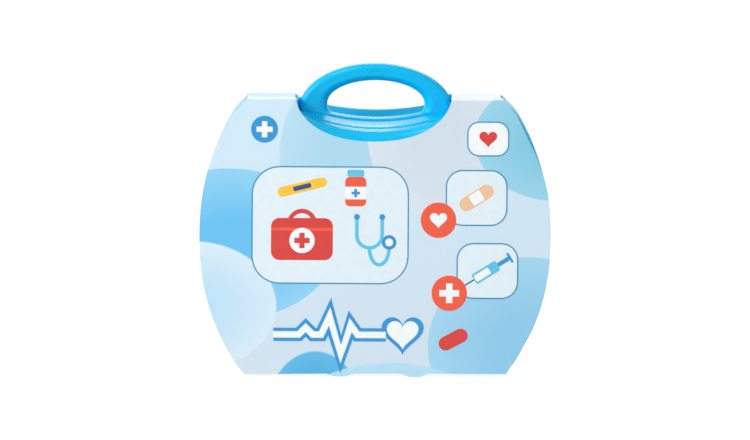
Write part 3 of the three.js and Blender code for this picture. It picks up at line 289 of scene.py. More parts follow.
def drawn_wire(name):
    """Drawn steel wire: bright, with fine lines along it and a little unevenness across.

    The lines that the die leaves are much finer, and are drawn a third of a millimetre wide to show.
    """
    made, tree, output, place = material(name)
    lines = noise(tree, place, 0.35, 2.0, 0.6, (14, 1, 1))
    tint = mixed(tree, lines, linear("#A9ADB3"), linear("#D3D6DA"))
    inputs = {"Base Color": tint, "Metallic": 1.0, "Roughness": spread(tree, lines, 0.3, 0.7, 0.2, 0.4)}
    surface = add(tree, "ShaderNodeBsdfPrincipled", inputs)
    return finish_material(made, tree, output, surface, lines, 0.01 * MM)


def bare_board(name, tone):
    """Uncoated folding boxboard: matt and off-white, with short fibres that show as specks.

    Real fibres are a tenth as wide, and are drawn this coarse so that they show.
    """
    made, tree, output, place = material(name)
    fibres = noise(tree, place, 0.45, 4.0, 0.7, (3, 3, 1))
    cloudy = mixed(tree, noise(tree, place, 9), shade(tone, 0.94), tone)
    specks = mixed(tree, spread(tree, fibres, 0.58, 0.7, 0, 0.35), cloudy, shade(tone, 0.7))
    surface = add(tree, "ShaderNodeBsdfPrincipled", {"Base Color": specks, "Roughness": 0.75, "IOR": 1.45})
    return finish_material(made, tree, output, surface, fibres, 0.03 * MM)


def varnished(made, tree, output, place, tint):
    """Offset print under a satin varnish: even colour, soft gloss, and the board's faint unevenness below."""
    board = noise(tree, place, 2.4, 3.0, 0.55)
    inputs = {
        "Base Color": tint,
        "Roughness": spread(tree, board, 0.3, 0.7, 0.34, 0.46),
        "IOR": 1.5,
        "Specular IOR Level": 0.3,
        "Coat Weight": 0.6,
        "Coat Roughness": 0.12,
    }
    surface = add(tree, "ShaderNodeBsdfPrincipled", inputs)
    return finish_material(made, tree, output, surface, board, 0.01 * MM)


def ink(name, value):
    """One printed ink, slightly uneven as an offset press lays it."""
    made, tree, output, place = material(name)
    base = linear(value)
    tint = mixed(tree, noise(tree, place, 6, 3.0), shade(base, 0.95), shade(base, 1.05))
    return varnished(made, tree, output, place, tint)


def wave(tree, place, below, x, z, half_width, half_height, deep, pale):
    """A big soft-edged printed shape: deeper inside, paler towards its edge, over what is below it."""
    scale = (1 / (half_width * MM), 0, 1 / (half_height * MM))
    shift = (-x / half_width, 0, -z / half_height)
    inner = add(tree, "ShaderNodeMapping", {"Vector": place, "Scale": scale, "Location": shift})
    reach = add(tree, "ShaderNodeVectorMath", {0: inner}, operation="LENGTH").outputs["Value"]
    tint = mixed(tree, spread(tree, reach, 0.35, 1.0, 0, 1), linear(deep), linear(pale))
    edge = 0.5 / half_width
    return mixed(tree, spread(tree, reach, 1 - edge, 1 + edge, 1, 0), below, tint)


# The printed waves: x, z, half width and half height in millimetres, colour inside, colour at the edge
FRONT_WAVES = [
    (-22, 158, 46, 62, "#ABD9EE", "#B8DFF2"),
    (42, 176, 48, 62, "#D0E0EB", "#DAE6F0"),
    (130, 170, 60, 44, "#7FC9E4", "#98D5EC"),
    (-104, 94, 76, 54, "#62C1F0", "#8FD3F5"),
    (-130, 50, 60, 46, "#BFE2F6", "#D9EDFA"),
    (110, 22, 72, 64, "#8DCBEA", "#A2D6F0"),
    (-42, -26, 34, 44, "#2FA4DA", "#5CBAE6"),
    (12, -42, 82, 52, "#A2D6EE", "#B8E0F3"),
]
REAR_WAVES = [
    (-96, 168, 72, 58, "#5FC0F0", "#9AD4F2"),
    (116, 96, 76, 64, "#BFE2F6", "#D9EDFA"),
    (-108, 24, 78, 60, "#93CCEB", "#A9D8F0"),
    (52, -18, 70, 56, "#66BFE8", "#8CCFEE"),
]
INSERT_WAVES = [
    (-70, 60, 60, 40, "#27A5DE", "#38B1E6"),
    (62, 44, 56, 34, "#0F78BE", "#1584CA"),
    (30, 176, 70, 30, "#2AA9E0", "#3CB4E8"),
]


def printed_card(name, waves, top_tone, low_tone):
    """Coated board, printed with overlapping pale waves and varnished."""
    made, tree, output, place = material(name)
    height = add(tree, "ShaderNodeSeparateXYZ", {"Vector": place}).outputs["Z"]
    tint = mixed(tree, spread(tree, height, 0, 197.8 * MM, 0, 1), linear(low_tone), linear(top_tone))
    for one in waves:
        tint = wave(tree, place, tint, *one)
    return varnished(made, tree, output, place, tint)


def soft_vinyl(name, tone):
    """Soft vinyl tube: milky, slightly see-through and waxy."""
    return moulded(name, tone, 0.42, 1.52, 0.8, 0.02, **{"Transmission Weight": 0.25})


def clear_styrene(name, tone):
    """Clear polystyrene: it lets light through, with faint flow lines in its wall."""
    return moulded(name, tone, 0.12, 1.59, 4, 0.03, **{"Transmission Weight": 0.85})


POLYPROPYLENE_IOR = 1.49
STYRENE_IOR = 1.55

# Name, roughness, IOR and other inputs of each moulded finish. Its colour is the user's of the same key.
MOULDED = {
    "case": ("moulded_polypropylene_blue", 0.25, POLYPROPYLENE_IOR, {"Specular IOR Level": 0.19}),
    "latch": ("moulded_polypropylene_light_blue", 0.3, POLYPROPYLENE_IOR, {"Specular IOR Level": 0.2}),
    "white": ("moulded_styrene_white", 0.32, STYRENE_IOR, {}),
    "red": ("moulded_styrene_red", 0.26, STYRENE_IOR, {}),
    "blue": ("moulded_styrene_blue", 0.28, STYRENE_IOR, {}),
    "yellow": ("moulded_styrene_yellow", 0.28, STYRENE_IOR, {}),
    "cyan": ("moulded_polypropylene_cyan", 0.34, POLYPROPYLENE_IOR, {}),
}

INK_TONES = {
    "ink_white": "#F6FAFC",
    "ink_blue": "#1A93D6",
    "ink_teal": "#2B8FB8",
    "ink_orange": "#F25431",
    "ink_red": "#D9322B",
    "ink_yellow": "#FFC629",
    "ink_cyan": "#55C3E6",
    "ink_pale": "#E3F1F9",
    "ink_tan": "#F0C39A",
    "ink_navy": "#20417E",
}

OTHER_FINISHES = {
    "navy": lambda: moulded("gloss_label_navy", list(settings().colours.navy), 0.16, 1.5, 6, 0.01),
    "steel": lambda: drawn_wire("drawn_steel_wire"),
    "vinyl": lambda: soft_vinyl("soft_vinyl_tube", linear("#DDE8EE")),
    "clear": lambda: clear_styrene("clear_polystyrene", linear("#E4F2F8")),
    "edge": lambda: bare_board("boxboard_cut_edge", linear("#DCE6EC")),
    "back": lambda: bare_board("boxboard_uncoated_back", linear("#F1F1EE")),
    "front_print": lambda: printed_card("printed_boxboard_front", FRONT_WAVES, "#CFEAFA", "#D3E3EE"),
    "rear_print": lambda: printed_card("printed_boxboard_rear", REAR_WAVES, "#CBE2F2", "#BBDDF0"),
    "board_print": lambda: printed_card("printed_boxboard_insert", INSERT_WAVES, "#1795D4", "#1180C6"),
    "box_white": lambda: ink("printed_carton_white", "#F0F2F4"),
    "box_blue": lambda: ink("printed_carton_blue", "#1B6FB4"),
}

FINISHES = {}


def finish(key):
    """The material for a finish, made when it is first needed."""
    if key not in FINISHES:
        if key in MOULDED:
            name, roughness, ior, others = MOULDED[key]
            FINISHES[key] = moulded(name, list(getattr(settings().colours, key)), roughness, ior, **others)
        elif key in INK_TONES:
            FINISHES[key] = ink(key, INK_TONES[key])
        else:
            FINISHES[key] = OTHER_FINISHES[key]()
    return FINISHES[key]


# Shapes


def drawn_out(corners, way):
    """A closed body: a flat outline of (x, y, z) places, drawn out along a way."""
    bm = bmesh.new()
    face = bm.faces.new([bm.verts.new(corner) for corner in corners])
    grown = bmesh.ops.extrude_face_region(bm, geom=[face])["geom"]
    moved = [v for v in grown if isinstance(v, bmesh.types.BMVert)]
    bmesh.ops.translate(bm, verts=moved, vec=way)
    bmesh.ops.recalc_face_normals(bm, faces=bm.faces)
    return bm


def prism(points, y0, y1):
    """A closed body: an outline of (x, z) places, drawn out from y0 to y1."""
    return drawn_out([(x, y0, z) for x, z in points], (0, y1 - y0, 0))


def cross_prism(profile, x0, x1):
    """A closed body: an outline of (y, z) places, drawn out from x0 to x1."""
    return drawn_out([(x0, y, z) for y, z in profile], (x1 - x0, 0, 0))


def block(x0, x1, y0, y1, z0, z1, rounding=0.0, segments=3):
    """A box between two corners, with its edges rounded."""
    bm = bmesh.new()
    bmesh.ops.create_cube(bm, size=1.0)
    bmesh.ops.scale(bm, verts=bm.verts, vec=(x1 - x0, y1 - y0, z1 - z0))
    bmesh.ops.translate(bm, verts=bm.verts, vec=((x0 + x1) / 2, (y0 + y1) / 2, (z0 + z1) / 2))
    if rounding:
        soften(bm, bm.edges, rounding, segments)
    return bm


def soften(bm, edges, radius, segments=4, clamp=False):
    """Rounds edges."""
    bmesh.ops.bevel(
        bm,
        geom=list(edges),
        offset=radius,
        offset_type="OFFSET",
        segments=segments,
        profile=0.5,
        affect="EDGES",
        material=-1,
        clamp_overlap=clamp,
    )


def edges_at(bm, y):
    """The edges that lie in the plane at y."""
    return [e for e in bm.edges if all(abs(v.co.y - y) < SAME for v in e.verts)]


def sharp_edges(bm, degrees):
    """The edges at which the surface turns by more than an angle."""
    limit = math.radians(degrees)
    return [e for e in bm.edges if len(e.link_faces) == 2 and e.calc_face_angle(0) > limit]


def rod(axis, radius, start, end, a, b, sides=32):
    """A round bar along an axis, centred on the other two coordinates."""
    bm = bmesh.new()
    depth, middle = end - start, (start + end) / 2
    bmesh.ops.create_cone(bm, cap_ends=True, segments=sides, radius1=radius, radius2=radius, depth=depth)
    turn, centre = {
        "x": (Matrix.Rotation(math.pi / 2, 4, "Y"), (middle, a, b)),
        "y": (Matrix.Rotation(math.pi / 2, 4, "X"), (a, middle, b)),
        "z": (Matrix.Identity(4), (a, b, middle)),
    }[axis]
    bmesh.ops.transform(bm, matrix=Matrix.Translation(centre) @ turn, verts=bm.verts)
    return bm


def turned(profile, axis, centre, ease=0.0, steps=48):
    """A body turned round an axis. Its profile is (radius, place along the axis) from axis to axis."""
    along, across = AXES[axis], AXES["x" if axis == "z" else "z"]
    bm = bmesh.new()
    verts = [bm.verts.new(Vector(centre) + across * r + along * h) for r, h in profile]
    line = verts + [bm.edges.new(pair) for pair in zip(verts, verts[1:])]
    full = 2 * math.pi
    bmesh.ops.spin(bm, geom=line, cent=centre, axis=along, angle=full, steps=steps, use_merge=True)
    bmesh.ops.remove_doubles(bm, verts=bm.verts, dist=SLIVER)
    bmesh.ops.dissolve_degenerate(bm, edges=bm.edges, dist=SLIVER)
    bmesh.ops.recalc_face_normals(bm, faces=bm.faces)
    if ease:
        soften(bm, sharp_edges(bm, 35), ease, 3)
    return bm


def loft(sections):
    """A closed body through outlines of equally many (x, y, z) places."""
    bm = bmesh.new()
    rings = []
    for points in sections:
        verts = [bm.verts.new(p) for p in points]
        rings.append([bm.edges.new(pair) for pair in zip(verts, verts[1:] + verts[:1])])
    for low, high in zip(rings, rings[1:]):
        bmesh.ops.bridge_loops(bm, edges=low + high)
    for end in (rings[0], rings[-1]):
        bmesh.ops.contextual_create(bm, geom=end)
    bmesh.ops.recalc_face_normals(bm, faces=bm.faces)
    return bm


def mirrored(bm):
    """The same body on the other side of the middle."""
    other = bm.copy()
    bmesh.ops.scale(other, verts=other.verts, vec=(-1, 1, 1))
    bmesh.ops.recalc_face_normals(other, faces=other.faces)
    return other


def as_mesh(bm, name="stock"):
    """A mesh of a body, which is used up."""
    mesh = bpy.data.meshes.new(name)
    bm.to_mesh(mesh)
    bm.free()
    return mesh


def shown(name, data):
    """A new object in the scene."""
    made = bpy.data.objects.new(name, data)
    bpy.context.scene.collection.objects.link(made)
    return made


def pour(bm, whole):
    """Puts a body beside those that another holds. The first is used up."""
    mesh = as_mesh(bm)
    whole.from_mesh(mesh)
    bpy.data.meshes.remove(mesh)


def gathered(bodies):
    """Several bodies in one, which is used as a tool."""
    whole = bmesh.new()
    for bm in bodies:
        pour(bm, whole)
    return whole


def combine(base, tool, operation="DIFFERENCE"):
    """Cuts a body with another, or joins the two. Both are used up."""
    ends = [shown("stock", as_mesh(bm)) for bm in (base, tool)]
    cut = ends[0].modifiers.new("Cut", "BOOLEAN")
    cut.object = ends[1]
    cut.operation = operation
    cut.solver = "EXACT"
    made = bmesh.new()
    made.from_object(ends[0], bpy.context.evaluated_depsgraph_get())
    for end in ends:
        mesh = end.data
        bpy.data.objects.remove(end)
        bpy.data.meshes.remove(mesh)
    bmesh.ops.remove_doubles(made, verts=made.verts, dist=SAME)
    bmesh.ops.dissolve_degenerate(made, edges=made.edges, dist=SLIVER)
    return made


def joined(bm, extras):
    """A body joined with others, one after the other."""
    for extra in extras:
        bm = combine(bm, extra, "UNION")
    return bm


def piece(name, bm, body, finishes, replaces=()):
    """A finished piece on its body, with the nodes that it stands for."""
    mesh = as_mesh(bm, name)
    for key in finishes:
        mesh.materials.append(finish(key))
    mesh.shade_smooth()
    mesh.set_sharp_from_angle(angle=math.radians(30))
    made = shown(name, mesh)
    even = made.modifiers.new("Even shading", "WEIGHTED_NORMAL")
    even.keep_sharp = True
    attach(made, body)
    if replaces:
        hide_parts(*replaces)
    return made


# Case


BOW_POWER = 2.25  # a little over an arc's 2, which gives the sides their square shoulders
BOW_PAST = 0.8 * MM  # how far past the shells' top and bottom the side bow is counted
SHOULDER = 10.5 * MM  # height of the strip under the top that leans in further
SHOULDER_LEAN = 0.3  # how far that strip leans in, for its height


def bow_span():
    return settings().case.height / 2 + BOW_PAST


def bowed_half(z):
    """Half the shells' width at a height."""
    s = settings().case
    return s.width / 2 - s.bow * (abs(z - case_middle()) / bow_span()) ** BOW_POWER


def bow_angle(rise):
    """How far the side leans inwards at a height over the middle."""
    slope = BOW_POWER * settings().case.bow * (rise / bow_span()) ** (BOW_POWER - 1) / bow_span()
    return math.atan(slope)


def corner_start():
    """How far over the middle a bowed side ends, where it runs smoothly into a corner's arc."""
    s = settings().case
    reach, r = s.height / 2, s.corner_radius
    low, high = 0.0, reach
    for _ in range(40):  # halvings, after which a float holds no smaller step
        rise = (low + high) / 2
        if rise - r * math.sin(bow_angle(rise)) < reach - r:
            low = rise
        else:
            high = rise
    return rise


def case_outline(inset):
    """The shells' outline, inset from the outside: bowed sides, straight top and bottom, rounded corners."""
    s = settings().case
    middle, reach, r = case_middle(), s.height / 2, s.corner_radius
    rise = corner_start()
    lean = bow_angle(rise)
    centre_x = bowed_half(middle + rise) - r * math.cos(lean)
    side = []
    for i in range(-60, 61):
        h = rise * i / 60
        turn = math.copysign(bow_angle(abs(h)), h)
        side.append((bowed_half(middle + h) - inset * math.cos(turn), middle + h - inset * math.sin(turn)))
    corner = arc(centre_x, middle + reach - r, r - inset, lean, math.pi / 2, 10)[1:]
    low_corner = [(x, 2 * middle - z) for x, z in reversed(corner)]
    shoulder = middle + reach - SHOULDER
    right = [(x - SHOULDER_LEAN * max(0.0, z - shoulder), z) for x, z in low_corner + side + corner]
    return right + [(-x, z) for x, z in reversed(right)]


FLOOR_ARC = 36 * MM  # half width over which the dish's floor is an arc
FLOOR_EASE = 18 * MM  # width beyond that over which it levels out
FLOOR_SLOPE = 0.03  # slope that it keeps out there

# The dish's floor from the handle to a shell's face: share of the way, and of the whole change in height
FRONT_FLOOR = [(0, 0), (0.1, 0.05), (0.3, 0.27), (0.5, 0.52), (0.56, 0.62)]
FRONT_FLOOR += [(0.61, 0.82), (0.64, 0.88), (0.67, 0.9)]
REAR_FLOOR = [(0, 0), (0.08, -0.08), (0.2, -0.17), (0.6, -0.2), (0.68, -0.12)]
REAR_FLOOR += [(0.76, 0.2), (0.84, 0.75), (0.9, 0.98)]
REAR_RIM = 2 * MM  # rounding between the dish and the base's face


def floor_sag(x, radius, flat):
    """Height of the dish's floor over its middle: an arc, and level towards the sides where it is flat."""
    rise = sag(x, radius)
    past = abs(x) - FLOOR_ARC
    if past > 0:
        slope = FLOOR_ARC / math.sqrt(radius**2 - FLOOR_ARC**2)
        eased = min(past, FLOOR_EASE) ** 2 / (2 * FLOOR_EASE)
        level = sag(FLOOR_ARC, radius) + slope * past - (slope - FLOOR_SLOPE) * eased
        rise += flat * (level - rise)
    return rise


def dish_section(y, drop, radius, grow, flat):
    """A section of the finger dish: an arched floor, filleted into straight sides that end over the case."""
    half = settings().dish.half_width + grow
    fillet = 2 * MM + grow
    foot = half - fillet
    low = case_top() - drop - grow
    floor = [(x, low + floor_sag(x, radius + grow, flat)) for x in (foot * i / 36 for i in range(37))]
    high = case_top() + 40 * MM
    knee_z = floor[-1][1] + fillet
    right = floor + arc(foot, knee_z, fillet, -math.pi / 2, 0, 6)[1:] + [(half, high)]
    return [(x, y, z) for x, z in right] + [(-x, y, z) for x, z in reversed(right[1:])]


def dish(side, grow):
    """The finger dish in the lid, side -1, or in the base, side 1: its floor runs to a rounded rim."""
    d, s, h = settings().dish, settings().case, settings().handle
    back, past = h.depth / 2, 3 * MM
    if side < 0:
        floor, change, end_radius, rim, flare = FRONT_FLOOR, d.front_drop, d.front_radius, d.rim, d.rim / 2
    else:
        floor, change, end_radius, rim, flare = REAR_FLOOR, -d.rear_rise, d.rear_radius, REAR_RIM, REAR_RIM
    sections = [dish_section(-side * past, d.drop, d.radius, grow, 1)]
    for along, fall in floor:
        y = back + along * (s.depth - back)
        radius = d.radius + along * (end_radius - d.radius)
        sections.append(dish_section(side * y, d.drop + fall * change, radius, grow, 1 - along))
    for i in range(9):
        turn = i / 8 * math.pi / 2
        y, out = s.depth - rim + rim * math.sin(turn), 1 - math.cos(turn)
        fall = d.drop + change + (rim - flare) * out
        sections.append(dish_section(side * y, fall, end_radius, grow + flare * out, 0))
    fall = d.drop + change + rim - flare
    sections.append(dish_section(side * (s.depth + past), fall, end_radius, grow + flare, 0))
    return loft(sections)


POCKET_GAP = 2 * MM  # round a latch
POCKET_DEPTH = 7.5 * MM  # from the case's top to a pocket's floor


def latch_pockets(grow):
    """The two pockets in which the latches lie, open at the top."""
    low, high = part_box("latch_right")
    gap, top = POCKET_GAP + grow, case_top()
    floor = top - POCKET_DEPTH - grow
    right = block(low.x - gap, high.x + gap, low.y - gap, high.y + gap, floor, top + 20 * MM, 1.5 * MM)
    return gathered([mirrored(right), right])


def tub(side):
    """A hollow shell with its dish and latch pockets, rounded at its face and eased at its rim."""
    s = settings().case
    face, rim, inside = side * s.depth, side * SEAM, side * (s.depth - s.wall)
    shell = prism(case_outline(0), face, rim)
    soften(shell, edges_at(shell, face), s.edge_radius, 8)
    soften(shell, edges_at(shell, rim), 0.5 * MM, 2)
    room = prism(case_outline(s.wall), inside, -side * 3 * MM)
    soften(room, edges_at(room, inside), s.edge_radius - s.wall, 5)
    room = combine(combine(room, dish(side, s.wall)), latch_pockets(s.wall))
    shell = combine(combine(shell, dish(side, 0)), latch_pockets(0))
    return combine(shell, room)


FOOT_HALF = 2.6 * MM  # half a foot's width
FOOT_ENDS = (8 * MM, 30 * MM)  # from the parting plane to a foot's two ends
HINGE_X = 26.7 * MM  # from the middle to each hinge
KNUCKLE_SPANS = {-1: [(-3.5, 3.5)], 1: [(-7.9, -3.9), (3.9, 7.9)]}  # along a hinge, in millimetres
KNUCKLE_WEB = 5.6 * MM  # from the parting plane, so that the webs clear the card's bottom flap


def knuckles(side):
    """The feet and the hinge knuckles of a shell, at two places along the bottom."""
    s, c = settings().case, settings().card
    low, high = s.low - c.foot, s.low + s.wall / 2
    y = sorted(side * end for end in FOOT_ENDS)
    made = [block(x - FOOT_HALF, x + FOOT_HALF, *y, low, high, 0.8 * MM) for x in foot_places()]
    web = sorted((0, side * KNUCKLE_WEB))
    for x in (-HINGE_X, HINGE_X):
        for a, b in KNUCKLE_SPANS[side]:
            made.append(block(x + a * MM, x + b * MM, *web, low, high))
            made.append(rod("x", c.foot, x + a * MM, x + b * MM, 0, s.low))
    return made


def latch_nub(side):
    """The nub on the lid that a latch's bar snaps behind."""
    low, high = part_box("latch_right")
    middle, half = (low.x + high.x) / 2 * side, 4 * MM
    z0, z1 = case_top() - 8 * MM, case_top() - 2.8 * MM
    return block(middle - half, middle + half, -9.7 * MM, -6.7 * MM, z0, z1, 0.5 * MM, 2)


class TOYCASE_OT_lid(Operator):
    """Builds the lid, which is the front shell"""

    bl_idname = "toycase.lid"
    bl_label = "Lid shell"

    def execute(self, context):
        shell = joined(tub(-1), knuckles(-1) + [latch_nub(-1), latch_nub(1)])
        piece("lid_shell_fine", shell, "lid", ["case"], ["lid_shell"])
        return {"FINISHED"}


class TOYCASE_OT_base(Operator):
    """Builds the base, which is the rear shell, with its drawer openings, rails and posts"""

    bl_idname = "toycase.base"
    bl_label = "Base shell"

    def execute(self, context):
        s = settings().case
        low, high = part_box("drawer_right")
        floor, gap, rail, divider = s.depth - s.wall / 2, 0.5 * MM, 2 * MM, 1.2 * MM
        reach = high.x - 16 * MM  # the rails' ends
        extras = [
            block(-divider, divider, low.y, floor, low.z, high.z),
            block(-reach, reach, low.y, floor, high.z + gap, high.z + gap + rail),
            block(-reach, reach, low.y, floor, low.z - gap - rail, low.z - gap),
        ]
        for x in (-82.2 * MM, 82.2 * MM):
            for z in (18.8 * MM, 181.5 * MM):
                extras.append(rod("y", 4 * MM, 4.9 * MM, floor, x, z))
        shell = joined(tub(1), knuckles(1) + extras)
        slot = block(reach - 8 * MM, high.x + 9 * MM, low.y - gap, high.y + gap, low.z - gap, high.z + gap)
        shell = combine(shell, gathered([mirrored(slot), slot]))
        piece("base_shell_fine", shell, "base", ["case"], ["base_shell"])
        return {"FINISHED"}


# Handle


def opening_outline(grow):
    """The grip's opening: an arch over a low bar, with rounded lower corners. It widens less at the bar."""
    h, d = settings().handle, settings().dish
    centre = case_top() - h.drop + h.grip_lift
    half, rise = h.grip_half + 1.35 * grow, h.grip_rise + 0.85 * grow
    bar = case_top() - d.drop + h.lip - min(grow, 1.1 * MM)
    arch = [(half * math.cos(t), centre + rise * math.sin(t)) for t in (math.pi * i / 40 for i in range(41))]
    foot = half - h.fillet
    low = bar + floor_sag(foot, d.radius, 1) + h.fillet
    left = arc(-foot, low, h.fillet, math.pi, math.pi * 1.5, 8)
    bottom = [(x, bar + sag(x, d.radius)) for x in (foot * i / 12 for i in range(-12, 13))]
    right = arc(foot, low, h.fillet, -math.pi / 2, 0, 8)
    return arch + left + bottom[1:-1] + right


def handle_outline():
    """The handle's outside: an arch with straight feet, which are cut off at the dish's saddle."""
    h, d = settings().handle, settings().dish
    centre = case_top() - h.drop
    low = case_top() - d.drop - 12 * MM
    turns = [math.pi * i / 72 for i in range(73)]
    arch = [(h.half_width * math.cos(t), centre + h.rise * math.sin(t)) for t in turns]
    return arch + [(-h.half_width, low), (h.half_width, low)]


def under_saddle():
    """What lies under the handle: the dish's arched floor, with a hair's gap."""
    h, d = settings().handle, settings().dish
    saddle = case_top() - d.drop + 0.06 * MM
    reach = h.half_width + 4 * MM
    line = [(x, saddle + floor_sag(x, d.radius, 1)) for x in (reach * i / 60 for i in range(-60, 61))]
    return prism(line + [(reach, 0), (-reach, 0)], -h.depth, h.depth)


# The small ears that stand beside the handle's feet: x, and z past the case's top, in millimetres
EARS = [
    [(-57.5, -8), (-57.5, 1.8), (-56.6, 1.2), (-55, -0.5), (-53.4, 0.3), (-52.6, 1.2), (-50, -8)],
    [(54.2, -8), (54.2, 2.4), (53.6, 3.3), (53, 2.9), (51.6, 2.6), (49, -8)],
]


class TOYCASE_OT_handle(Operator):
    """Builds the carry handle and the cover that closes it behind"""

    bl_idname = "toycase.handle"
    bl_label = "Handle"

    def execute(self, context):
        h = settings().handle
        back = h.depth / 2
        past_face = back + 0.4 * MM
        outer = prism(handle_outline(), -back, back)
        for y in (-back, back):
            soften(outer, edges_at(outer, y), h.outer_round, 6)
        sections = []
        for i in range(19):
            y = past_face * (i / 9 - 1)
            past = max(0.0, min(abs(y), back) - (back - h.inner_round))
            grow = h.inner_round - math.sqrt(h.inner_round**2 - past * past)
            sections.append([(x, y, z) for x, z in opening_outline(grow)])
        ring = combine(combine(outer, under_saddle()), loft(sections))
        past, top = 5 * MM, case_top() + 60 * MM
        reach = h.half_width + past
        ears = [prism([(x * MM, case_top() + z * MM) for x, z in line], -past, -SEAM) for line in EARS]
        front = combine(ring.copy(), block(-reach, reach, -back - past, -SEAM, 0, top), "INTERSECT")
        rear = combine(ring, block(-reach, reach, SEAM, back + past, 0, top), "INTERSECT")
        front = combine(front, gathered(ears), "UNION")
        piece("handle_front", front, "lid", ["case"], ["carry_handle"])
        piece("handle_cover", rear, "lid", ["case"], ["handle_back_cover"])
        return {"FINISHED"}


# Card


CARD_STANDOFF = 0.6 * MM  # from a shell's face to the card's printed face
CARD_CORNER = 10.5 * MM  # height of the card's upper corners, which stand back as the shells' shoulders do
LEFT_LEAN, RIGHT_LEAN = 0.29, 0.33  # how far they stand back, for their height
LOW_CORNER = 2.2 * MM  # how far the lower left corner stands back
LOW_CORNER_HEIGHT = 2.5 * MM  # over which that fades
# Where the right edge stands back, in millimetres: how far, at what height, and over how much of it
ASKEW = [(2.3, 172, 22), (1.5, 12, 14)]
CARD_TILT = 0.013  # how much lower the card's edge hangs, for its distance to the left
FLAP_TRIM = 1.2 * MM  # off the right flap's end


def card_face():
    """How far the card's printed face stands from the parting plane."""
    return settings().case.depth + CARD_STANDOFF


def card_side(z):
    """Half the card's width at a height, on its bowed sides."""
    return bowed_half(z) + settings().card.overhang


def card_edge(side, z):
    """Half the card's width to one side. Its corners stand back, and so does its askew right edge."""
    above = max(0.0, z - case_top() + CARD_CORNER)
    if side < 0:
        corner = LOW_CORNER * math.exp(-(z - card_low()) / LOW_CORNER_HEIGHT)
        return card_side(z) - LEFT_LEAN * above - corner
    back = sum(far * math.exp(-(((z / MM - height) / spread_mm) ** 2)) for far, height, spread_mm in ASKEW)
    return card_side(z) - RIGHT_LEAN * above - back * MM


def window_half(z):
    """Half the width of the window for the handle at a height, on a squared ellipse."""
    c, d = settings().card, settings().dish
    share = 1 - (z - case_top() + c.window_drop) / c.window_depth
    power = 2.2  # 2 gives a plain ellipse
    return (d.half_width + c.window_margin) * (1 - share**power) ** (1 / power)


def card_low():
    """Height of the card's lower edge between and beside the feet."""
    return settings().card.foot


def card_tilted(x):
    """The card's lower edge, which hangs lower to the left."""
    return card_low() + CARD_TILT * min(x, 0)


def foot_places():
    """Where the two feet stand along X."""
    c = settings().card
    return c.foot_shift - c.foot_spacing / 2, c.foot_shift + c.foot_spacing / 2


def card_bottom_line():
    """The card's lower edge from left to right: pushed down to the floor under the two feet."""
    c = settings().card
    left, right = -card_edge(-1, card_low()), card_edge(1, card_low())
    line = [(left, card_tilted(left))]
    shares = [i / 6 for i in range(7)]
    for x in foot_places():
        for side, order in ((-1, shares[::-1]), (1, shares)):
            for share in order:
                z = card_tilted(x) * (0.5 - 0.5 * math.cos(math.pi * share))
                line.append((x + side * (c.foot_flat + c.slope * share), z))
    return line + [(right, card_tilted(right))]


def card_outline(top):
    """The front or rear panel: bowed sides, and a window for the handle that is open at the top."""
    c, low = settings().card, card_low()
    heights = [low + (top - low) * i / 60 for i in range(1, 61)]
    right = [(card_edge(1, z), z) for z in heights]
    left = [(-card_edge(-1, z), z) for z in reversed(heights)]
    bottom = case_top() - c.window_drop
    window = []
    for i in range(-20, 21):
        z = bottom + (i / 20) ** 2 * (top - bottom)
        x = math.copysign(window_half(z), -i) if i else 0.0
        window.append((x - c.window_shift, z))
    return card_bottom_line() + right + window + left


def creased(side, face, top, turns, end):
    """Section of a strip that is bent at its crease, as (y, z) places: outside, end, and back inside."""
    t, r = settings().card.thickness, settings().card.fold
    outer, inner = (
        [(side * (face - r + reach * math.cos(a)), top - r + reach * math.sin(a)) for a in turns]
        for reach in (r, r - t)
    )
    return outer + end + inner[::-1]


def fold_profile(side, top, end):
    """Section of a whole crease and the strip behind it, which ends at a slit."""
    turns = [math.pi / 2 * i / 8 for i in range(9)]
    return creased(side, card_face(), top, turns, [(end, top), (end, top - settings().card.thickness)])


def paint_card(bm, side):
    """Printed outside, bare inside and along the cut edges."""
    face = card_face()
    bm.normal_update()
    for f in bm.faces:
        centre, n = f.calc_center_median(), f.normal
        on_panel = side * n.y > 0.5 and side * centre.y > face - settings().card.fold
        on_top = n.z > 0.5 and centre.z > case_top()
        below = n.z < -0.7 and centre.z < card_low() + 0.1 * MM
        inside = side * n.y < -0.5 or abs(n.z) > 0.5
        f.material_index = 0 if on_panel or on_top or below else 1 if inside else 2


def card_panel(side, top, end):
    """A panel with its bottom flap, and with its top strips where the panel is the front one."""
    c = settings().card
    face = side * card_face()
    high = top - (c.fold if end is not None else 0)
    bm = prism(card_outline(high), face, face - side * c.thickness)
    line = card_bottom_line()
    raised = [(x, z + c.thickness) for x, z in reversed(line)]
    bm = combine(bm, prism(line + raised, face, side * c.hinge_gap), "UNION")
    if end is not None:
        for sign in (-1, 1):
            x0, x1 = sorted((sign * window_half(top) - c.window_shift, sign * card_edge(sign, top)))
            bm = combine(bm, cross_prism(fold_profile(side, top, end), x0, x1), "UNION")
    paint_card(bm, side)
    return bm


class TOYCASE_OT_card_front(Operator):
    """Builds the front half of the printed card with its two top strips"""

    bl_idname = "toycase.card_front"
    bl_label = "Front card"

    def execute(self, context):
        c = settings().card
        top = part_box("card_wrap_front")[1].z
        bm = card_panel(-1, top, -c.slit - SEAM)
        finishes = ["front_print", "back", "edge"]
        piece("card_front_panel", bm, "card_front", finishes, ["card_wrap_front"])
        return {"FINISHED"}


